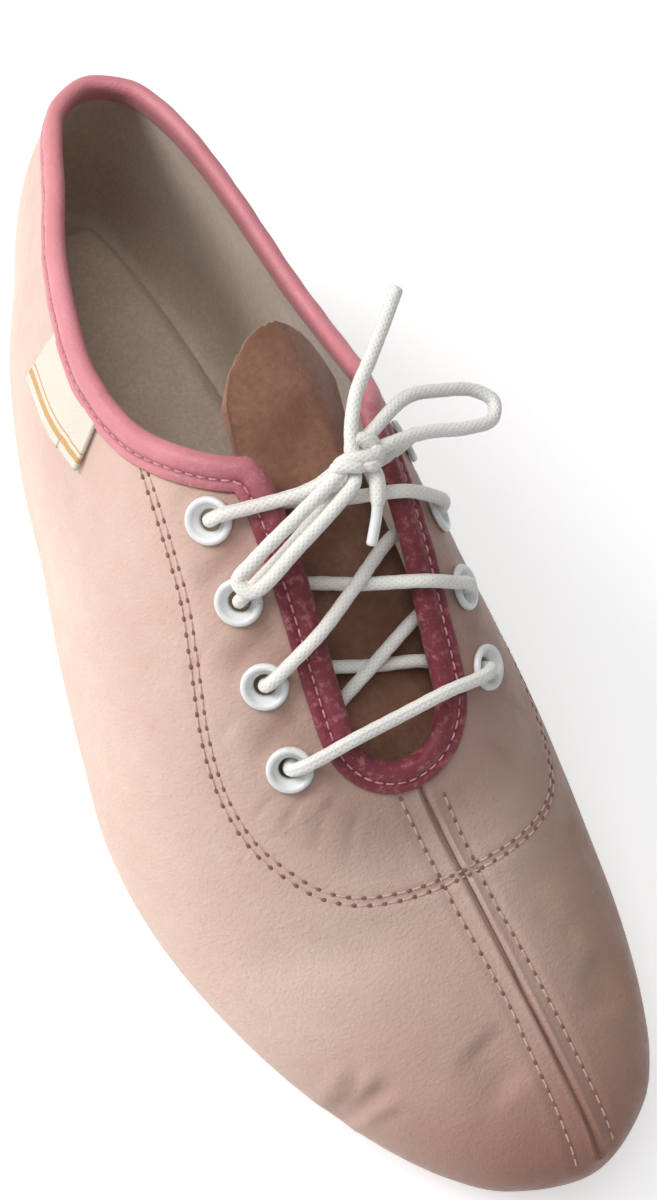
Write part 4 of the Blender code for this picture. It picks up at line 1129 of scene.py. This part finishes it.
def make_tongue():
    """A soft sheet under the throat, from its root below the vamp to a slightly ragged top edge."""
    rows, columns = 90, 48
    root, top = THROAT_END + TONGUE_ROOT, CORNER - TONGUE_RISE
    grid = np.empty((rows, columns, 3))
    ways = np.empty((rows, columns, 3))
    deep = np.empty((rows, columns, 1))
    for i in range(rows):
        v = i / (rows - 1)
        half = THROAT_HALF * float(smooth_rows(TONGUE, "half", v))
        lean = THROAT_HALF * float(smooth_rows(TONGUE, "lean", v))
        sunk = float(smooth_rows(TONGUE, "sunk", v))
        depth = WALL + 2 * GAP + sunk * (TONGUE_DEPTH - WALL - 2 * GAP)
        for j in range(columns):
            u = 2 * j / (columns - 1) - 1
            s = root + v * (top - root) + TONGUE_ROUND * v ** 3 * (1 - math.sqrt(1 - 0.96 * u * u))
            s += 0.18 * MM * v ** 8 * math.sin(23 * u + 3 * math.sin(9 * u))
            grid[i, j], ways[i, j] = by_line(s, lean + u * half)
            deep[i, j] = depth + 0.35 * MM * math.sin(3.1 * u + 7 * v) * v
    for _ in range(60):
        ways[:, 1:-1] = (ways[:, :-2] + ways[:, 2:]) / 2
        ways[1:-1] = (ways[:-2] + 2 * ways[1:-1] + ways[2:]) / 4
    grid -= unit(ways) * deep
    tongue = add_mesh("tongue_flesh", grid, grid_faces(rows, columns), FLESH, closed=False)
    if sum(face.normal.z for face in tongue.data.polygons) < 0:
        tongue.data.flip_normals()
    sheet = tongue.modifiers.new("thickness", "SOLIDIFY")
    sheet.thickness = TONGUE_THICKNESS
    sheet.offset = -1
    soft = tongue.modifiers.new("edge", "BEVEL")
    soft.width = 0.35 * MM
    soft.segments = 2
    soft.limit_method = "ANGLE"
    return baked(tongue)


def inset_outline(inset):
    """The widest line seen from above, moved inward: for each side its x read against s."""
    ring = np.vstack([OUTLINE[LATERAL], OUTLINE[MEDIAL][-2:0:-1]]) * (1, LENGTH)
    along = unit(np.roll(ring, -1, axis=0) - np.roll(ring, 1, axis=0))
    moved = ring + np.stack([along[:, 1], -along[:, 0]], -1) * inset
    back, tip = int(moved[:, 1].argmin()), int(moved[:, 1].argmax())
    lateral = np.roll(moved, -back, axis=0)[:(tip - back) % len(moved) + 1]
    medial = np.roll(moved, -tip, axis=0)[:(back - tip) % len(moved) + 1][::-1]
    return lateral, medial


def flat_sections(edges, count, margin, extra=()):
    low = max(edge[0, 1] for edge in edges) + margin
    high = min(edge[-1, 1] for edge in edges) - margin
    even = low + (high - low) * (0.5 - 0.5 * np.cos(np.pi * np.arange(count) / (count - 1)))
    return sorted(list(even) + list(extra))


def make_outsole():
    """A thin suede sole with its arch and toe spring, and a low heel block."""
    edges = inset_outline(SOLE_INSET)
    rings = []
    for s in flat_sections(edges, 150, 0.2 * MM, (HEEL_BREAST - GAP, HEEL_BREAST + GAP)):
        lateral, medial = (float(np.interp(s, edge[:, 1], edge[:, 0])) for edge in edges)
        top = feather_height(s / LENGTH) - GAP
        shoulder = top - SOLE_THICKNESS + TREAD_THICKNESS
        on_heel = s < HEEL_BREAST
        low = 0.0 if on_heel else top - SOLE_THICKNESS
        wide = medial - lateral
        step = min(TREAD_STEP, 0.2 * wide)
        taper = min(HEEL_TAPER, 0.1 * wide) if on_heel else 0.0
        soft = min(0.35 * MM, 0.05 * wide)
        ring = [(x, top) for x in np.linspace(lateral + soft, medial - soft, 16)]
        ring += [(medial, top - soft), (medial, shoulder + soft), (medial - soft, shoulder),
                 (medial - step, shoulder)]
        ring += [(x, low) for x in np.linspace(medial - step - taper, lateral + step + taper, 16)]
        ring += [(lateral + step, shoulder), (lateral + soft, shoulder), (lateral, shoulder + soft),
                 (lateral, top - soft)]
        rings.append([world(x, s, z) for x, z in ring])
    return loft("outsole_suede", rings, SUEDE)


def make_insole():
    """A thin sock with a bevelled edge, on the turned-in leather."""
    edges = inset_outline(INSOLE_INSET)
    rings = []
    for s in flat_sections(edges, 110, 2 * MM):
        lateral, medial = (float(np.interp(s, edge[:, 1], edge[:, 0])) for edge in edges)
        low = feather_height(s / LENGTH) + WALL + GAP
        high = low + INSOLE_THICKNESS
        ring = [(x, high) for x in np.linspace(lateral - INSOLE_BEVEL, medial + INSOLE_BEVEL, 12)]
        ring += [(x, low) for x in np.linspace(medial, lateral, 12)]
        rings.append([world(x, s, z) for x, z in ring])
    return loft("insole_sock", rings, LINING)


def make_side_tag():
    """A folded ribbon sewn in under the binding on the lateral side of the heel."""
    rows, columns = 22, 34
    start = BINDING_WIDTH - 1.0 * MM
    front, back, uv = [], [], []
    for j in range(columns):
        w = j / (columns - 1)
        u = w - 0.5
        t = TAG_STATION + TAG_WIDTH / LENGTH * u
        point = form(LATERAL, t, rim_angle(LATERAL, t))
        behind, ahead = (form(LATERAL, t + d, rim_angle(LATERAL, t + d)) for d in (-0.01, 0.01))
        inward = unit(np.cross(on_form(point)[1], unit(behind - ahead)))
        length = TAG_DROP + 1.6 * MM - TAG_SLANT * u
        for i in range(rows):
            v = i / (rows - 1)
            place, way = on_skin(point + inward * (start + v * length))
            curl = 0.25 * MM + 0.5 * MM * v ** 3 + 0.25 * MM * (2 * u) ** 4
            front.append(place + way * (curl + TAG_THICKNESS))
            back.append(place + way * (curl - 0.1 * MM))
            uv.append((w, v))
    count = rows * columns
    faces = grid_faces(columns, rows)
    rim = ([j * rows for j in range(columns)] + [(columns - 1) * rows + i for i in range(1, rows)]
           + [j * rows + rows - 1 for j in range(columns - 2, -1, -1)] + list(range(rows - 2, 0, -1)))
    walls = [[a, b, b + count, a + count] for a, b in zip(rim, rim[1:] + rim[:1])]
    all_faces = faces.tolist() + (faces[:, ::-1] + count).tolist() + walls
    return add_mesh("side_tag_ribbon", np.array(front + back), all_faces, RIBBON, uv=uv + uv)


RADIUS = LACE_DIAMETER / 2
EDGE_LIFT = GAP + BINDING_THICKNESS + LACE_SLACK + RADIUS - 0.5 * MM
EDGE_DROP = WALL + INNER_GAP + BINDING_THICKNESS + LACE_SLACK + RADIUS


def seat_of(side, row):
    return SEATS[row if side == LATERAL else EYELET_COUNT + row]


def bore(side, row, over, toward):
    """Points at the mouth of an eyelet, outside or inside, from the far one to the one in the bore."""
    place, normal = seat_of(side, row)
    way = toward - place
    way = unit(way - normal * way.dot(normal))
    if over:
        return [place + normal * 2.75 * MM + way * 3.4 * MM, place + normal * 1.55 * MM + way * 0.9 * MM]
    return [place - normal * 4.3 * MM + way * 2.6 * MM, place - normal * 2.4 * MM + way * 0.7 * MM]


def crossing(start_side, start_row, start_over, end_row, end_over, lift):
    """From an eyelet to one across the throat, over or under the folded edge at each end."""
    ends = [(start_side, start_row, start_over), (-start_side, end_row, end_over)]
    reach = [EDGE_LIFT if over else -EDGE_DROP for _, _, over in ends]
    hooks = [seat_of(side, row)[0] for side, row, _ in ends]
    edges, flanks = [], []
    for share, hook, (side, _, over), away in zip((0.27, 0.73), hooks, ends, reach):
        s = HEEL_TO_ORIGIN - (hooks[0] * (1 - share) + hooks[1] * share)[1]
        point = form(side, s / LENGTH, rim_angle(side, s / LENGTH))
        edges.append(point + on_form(point)[1] * away)
        place, normal = on_form((point + hook) / 2)
        flanks.append(place + normal * away)
    middle = (edges[0] + edges[1]) / 2 + np.array([0, 0, lift])
    first = bore(start_side, start_row, start_over, edges[0])
    last = bore(-start_side, end_row, end_over, edges[1])
    return first[::-1] + [flanks[0], edges[0], middle, edges[1], flanks[1]] + last


def in_bore(side, row):
    """The point in the middle of an eyelet's barrel."""
    place, normal = seat_of(side, row)
    return [place - normal * 0.6 * MM]


def knot_centre():
    middle = (SEATS[0][0] + SEATS[EYELET_COUNT][0]) / 2
    return middle + np.array([KNOT[0], -KNOT[1], KNOT[2]]) * MM


def beside(origin, offsets):
    return [origin + np.array([x, -s, z]) * MM for x, s, z in offsets]


CENTRE = knot_centre()


def make_lacing():
    """One cord from the knot through all eight eyelets and back to the knot."""
    high, low = 1.5 * MM, -0.9 * MM
    knot = CENTRE + np.array([0, 0, -1.0 * MM])
    path = [knot, knot + np.array([6.0, -0.8, -4.0]) * MM]
    path += bore(MEDIAL, 0, True, knot) + in_bore(MEDIAL, 0)
    for run in ((LATERAL, 1, True, 0, False, high), (MEDIAL, 2, True, 1, False, low),
                (LATERAL, 3, False, 2, False, high)):
        path += crossing(*run)[::-1] + in_bore(run[0], run[1])
    for run in ((LATERAL, 3, True, 3, True, 0), (MEDIAL, 3, False, 2, False, low),
                (LATERAL, 2, True, 1, False, high), (MEDIAL, 1, True, 0, False, low)):
        path += crossing(*run) + in_bore(-run[0], run[3])
    path += bore(LATERAL, 0, True, knot)[::-1]
    path += [knot + np.array([-8.0, -0.5, -5.0]) * MM, knot + np.array([-2.0, 0, -1.0]) * MM]
    smooth = round_curve(path, 10)
    points, faces, uv = tube(smooth, RADIUS, plaits=PLAIT_DEPTH)
    return add_mesh("lacing_cord", points, faces, COTTON, uv=uv)


def cord_piece(name, path, plaits=PLAIT_DEPTH, profile=None, radius=RADIUS):
    smooth = round_curve(path)
    points, faces, uv = tube(smooth, radius, plaits=plaits, profile=profile)
    piece = add_mesh(name, points, faces, COTTON, uv=uv)
    length = float(np.sum(np.linalg.norm(np.diff(smooth, axis=0), axis=1)))
    return piece, smooth, length


def make_knot():
    """Two wraps of the cord, drawn tight."""
    a = np.linspace(0, 2 * np.pi, 60, endpoint=False)
    parts = []
    shapes = [((3.7, 1.3, 2.3), (0.2, 0.2, 0.2), 0.3), ((2.5, 2.9, 2.0), (-2.2, 0.8, -0.2), 1.2),
              ((2.3, 3.0, 1.8), (2.0, -0.9, -0.2), 2.0), ((1.7, 2.2, 1.5), (0.6, 1.2, 0.4), 0.8)]
    for (rx, rs, rz), (cx, cs, cz), turn in shapes:
        x = rx * np.cos(a)
        s = rs * np.sin(a) * math.cos(turn) + 0.6 * np.sin(2 * a)
        z = rz * np.sin(a)
        path = np.array(beside(CENTRE, np.stack([x + cx, s + cs, z + cz], -1)))
        path = np.concatenate([path, path[:2]])
        parts.append(tube(path, RADIUS, plaits=PLAIT_DEPTH, spacing=0.4 * MM))
    points, faces, uv = joined(parts)
    return add_mesh("knot_wraps", points, faces, COTTON, uv=uv)


def sleeve(at, total):
    """The cord swells where its tip is bound, then narrows into the tip."""
    u = at / total
    return 1 + 0.15 * np.exp(-((u - 0.36) / 0.12) ** 2) - 0.42 * np.clip((u - 0.52) / 0.12, 0, 1)


def hollow_end(at, total):
    """A tip that is a little narrower where it enters the cord, and pinched at its end."""
    u = at / total
    return np.where(u > 0.985, 0.72, 1 - 0.10 * np.clip((0.10 - u) / 0.10, 0, 1))


def make_bow():
    """Two loops and two ends that leave the knot; the lower end has a stiff tip."""
    pieces = []
    root = [(-0.6, 0.2, -0.2)]
    lateral = beside(CENTRE, [(-2.6, 0.6, 0.4)] + LOOP_LATERAL + [(-0.8, 1.2, -1.2)])
    medial = beside(CENTRE, [(1.2, -1.4, 0.6)] + LOOP_MEDIAL + [(1.6, 0.6, -1.0)])
    up, down = beside(CENTRE, root + END_UP), beside(CENTRE, [(1.0, 0.8, 1.2)] + END_DOWN)
    for name, node, path in (("loop_lateral_cord", "lace_loop_lateral", lateral),
                             ("loop_medial_cord", "lace_loop_medial", medial),
                             ("end_up_cord", "lace_end_up", up), ("end_down_cord", "lace_end_down", down)):
        if name == "end_down_cord":
            piece, smooth, length = cord_piece(name, path, profile=sleeve)
            tip, _, _ = cord_piece("end_down_tip", path[2:], plaits=0, radius=1.02 * MM, profile=hollow_end)
            tip.data.materials[0] = ENAMEL
            stand_for(tip)
        else:
            piece, smooth, length = cord_piece(name, path)
        stand_for(piece, node)
        pieces.append((piece, smooth, length))
    return pieces, tip


def make_floor():
    f = Finish("pale_floor", roughness=0.7, specular=0.3)
    colour = f.mix(f.spread(f.noise(3, 2), 0.3, 0.7), (0.86, 0.86, 0.86), (0.89, 0.89, 0.89))
    f.shader.inputs["Emission Color"].default_value = (1.0, 1.0, 1.0, 1.0)
    f.shader.inputs["Emission Strength"].default_value = FLOOR_GLOW
    material = f.done(colour)
    corners = [(-3, -3, -0.0003), (3, -3, -0.0003), (3, 3, -0.0003), (-3, 3, -0.0003)]
    floor = add_mesh("floor", corners, [(0, 1, 2, 3)], material, closed=False)


def camera_axes():
    yaw, pitch, roll = (math.radians(a) for a in (YAW, PITCH, ROLL))
    ahead = Vector((math.sin(yaw) * math.cos(pitch), math.cos(yaw) * math.cos(pitch), -math.sin(pitch)))
    level = Vector((math.cos(yaw), -math.sin(yaw), 0))
    up = level.cross(ahead)
    right = level * math.cos(roll) + up * math.sin(roll)
    top = -level * math.sin(roll) + up * math.cos(roll)
    return right, top, ahead


def make_camera():
    right, top, ahead = camera_axes()
    data = bpy.data.cameras.new("camera")
    data.sensor_width = SENSOR
    data.lens = SENSOR * FOCAL_PIXELS / IMAGE_HEIGHT
    data.clip_start = 0.01
    data.clip_end = 20
    camera = bpy.data.objects.new("camera", data)
    turn = Matrix((right, top, -ahead)).transposed().to_4x4()
    camera.matrix_world = Matrix.Translation(Vector(EYE) * MM) @ turn
    bpy.context.scene.collection.objects.link(camera)
    bpy.context.scene.camera = camera


def make_light(name, right_share, top_share, back_share, size, power, colour):
    """A soft area light, placed by the picture's own directions around the shoe."""
    right, top, ahead = camera_axes()
    target = Vector(LIT_POINT)
    way = (right * right_share + top * top_share - ahead * back_share).normalized()
    data = bpy.data.lights.new(name, "AREA")
    data.shape = "DISK"
    data.size = size
    data.energy = power
    data.color = colour
    light = bpy.data.objects.new(name, data)
    light.location = target + way * LIGHT_DISTANCE
    light.rotation_euler = (-way).to_track_quat("-Z", "Y").to_euler()
    bpy.context.scene.collection.objects.link(light)


def make_lights():
    make_light("key", -0.70, 0.42, 0.68, 0.50, 7.4, (1.0, 0.985, 0.965))
    make_light("top", -0.15, 0.45, 0.95, 0.8, 4.6, (1.0, 0.985, 0.97))
    make_light("fill", 0.8, -0.5, 0.8, 1.0, 0.4, (1.0, 0.93, 0.86))
    sky = bpy.data.worlds.new("studio")
    sky.use_nodes = True
    sky.node_tree.nodes["Background"].inputs[0].default_value = (0.95, 0.97, 1.0, 1.0)
    sky.node_tree.nodes["Background"].inputs[1].default_value = 0.26
    bpy.context.scene.world = sky
    bpy.context.scene.view_settings.view_transform = "Standard"


def stand_for(piece, *nodes):
    """The piece rides on the shoe's one body, and shows in place of the CAD nodes named."""
    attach(piece, "root")
    if nodes:
        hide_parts(*nodes)


make_camera()
stand_for(UPPER, "upper")
for stitches in make_stitches():
    stand_for(stitches)
binding, binding_stitches = make_binding()
stand_for(binding, "binding")
stand_for(binding_stitches)
for index, seat in enumerate(SEATS):
    side = "lateral" if index < EYELET_COUNT else "medial"
    number = index % EYELET_COUNT + 1
    stand_for(make_eyelet(f"eyelet_ring_{side}_{number}", seat), f"eyelet_{side}_{number}")
stand_for(make_tongue(), "tongue")
stand_for(make_insole(), "insole")
stand_for(make_outsole(), "outsole")
stand_for(make_side_tag(), "side_tag")
stand_for(make_lacing(), "lace_bar_end", "lace_cross_lower", "lace_cross_middle", "lace_cross_upper")
stand_for(make_knot(), "lace_knot")
loops, tip = make_bow()
make_floor()
make_lights()
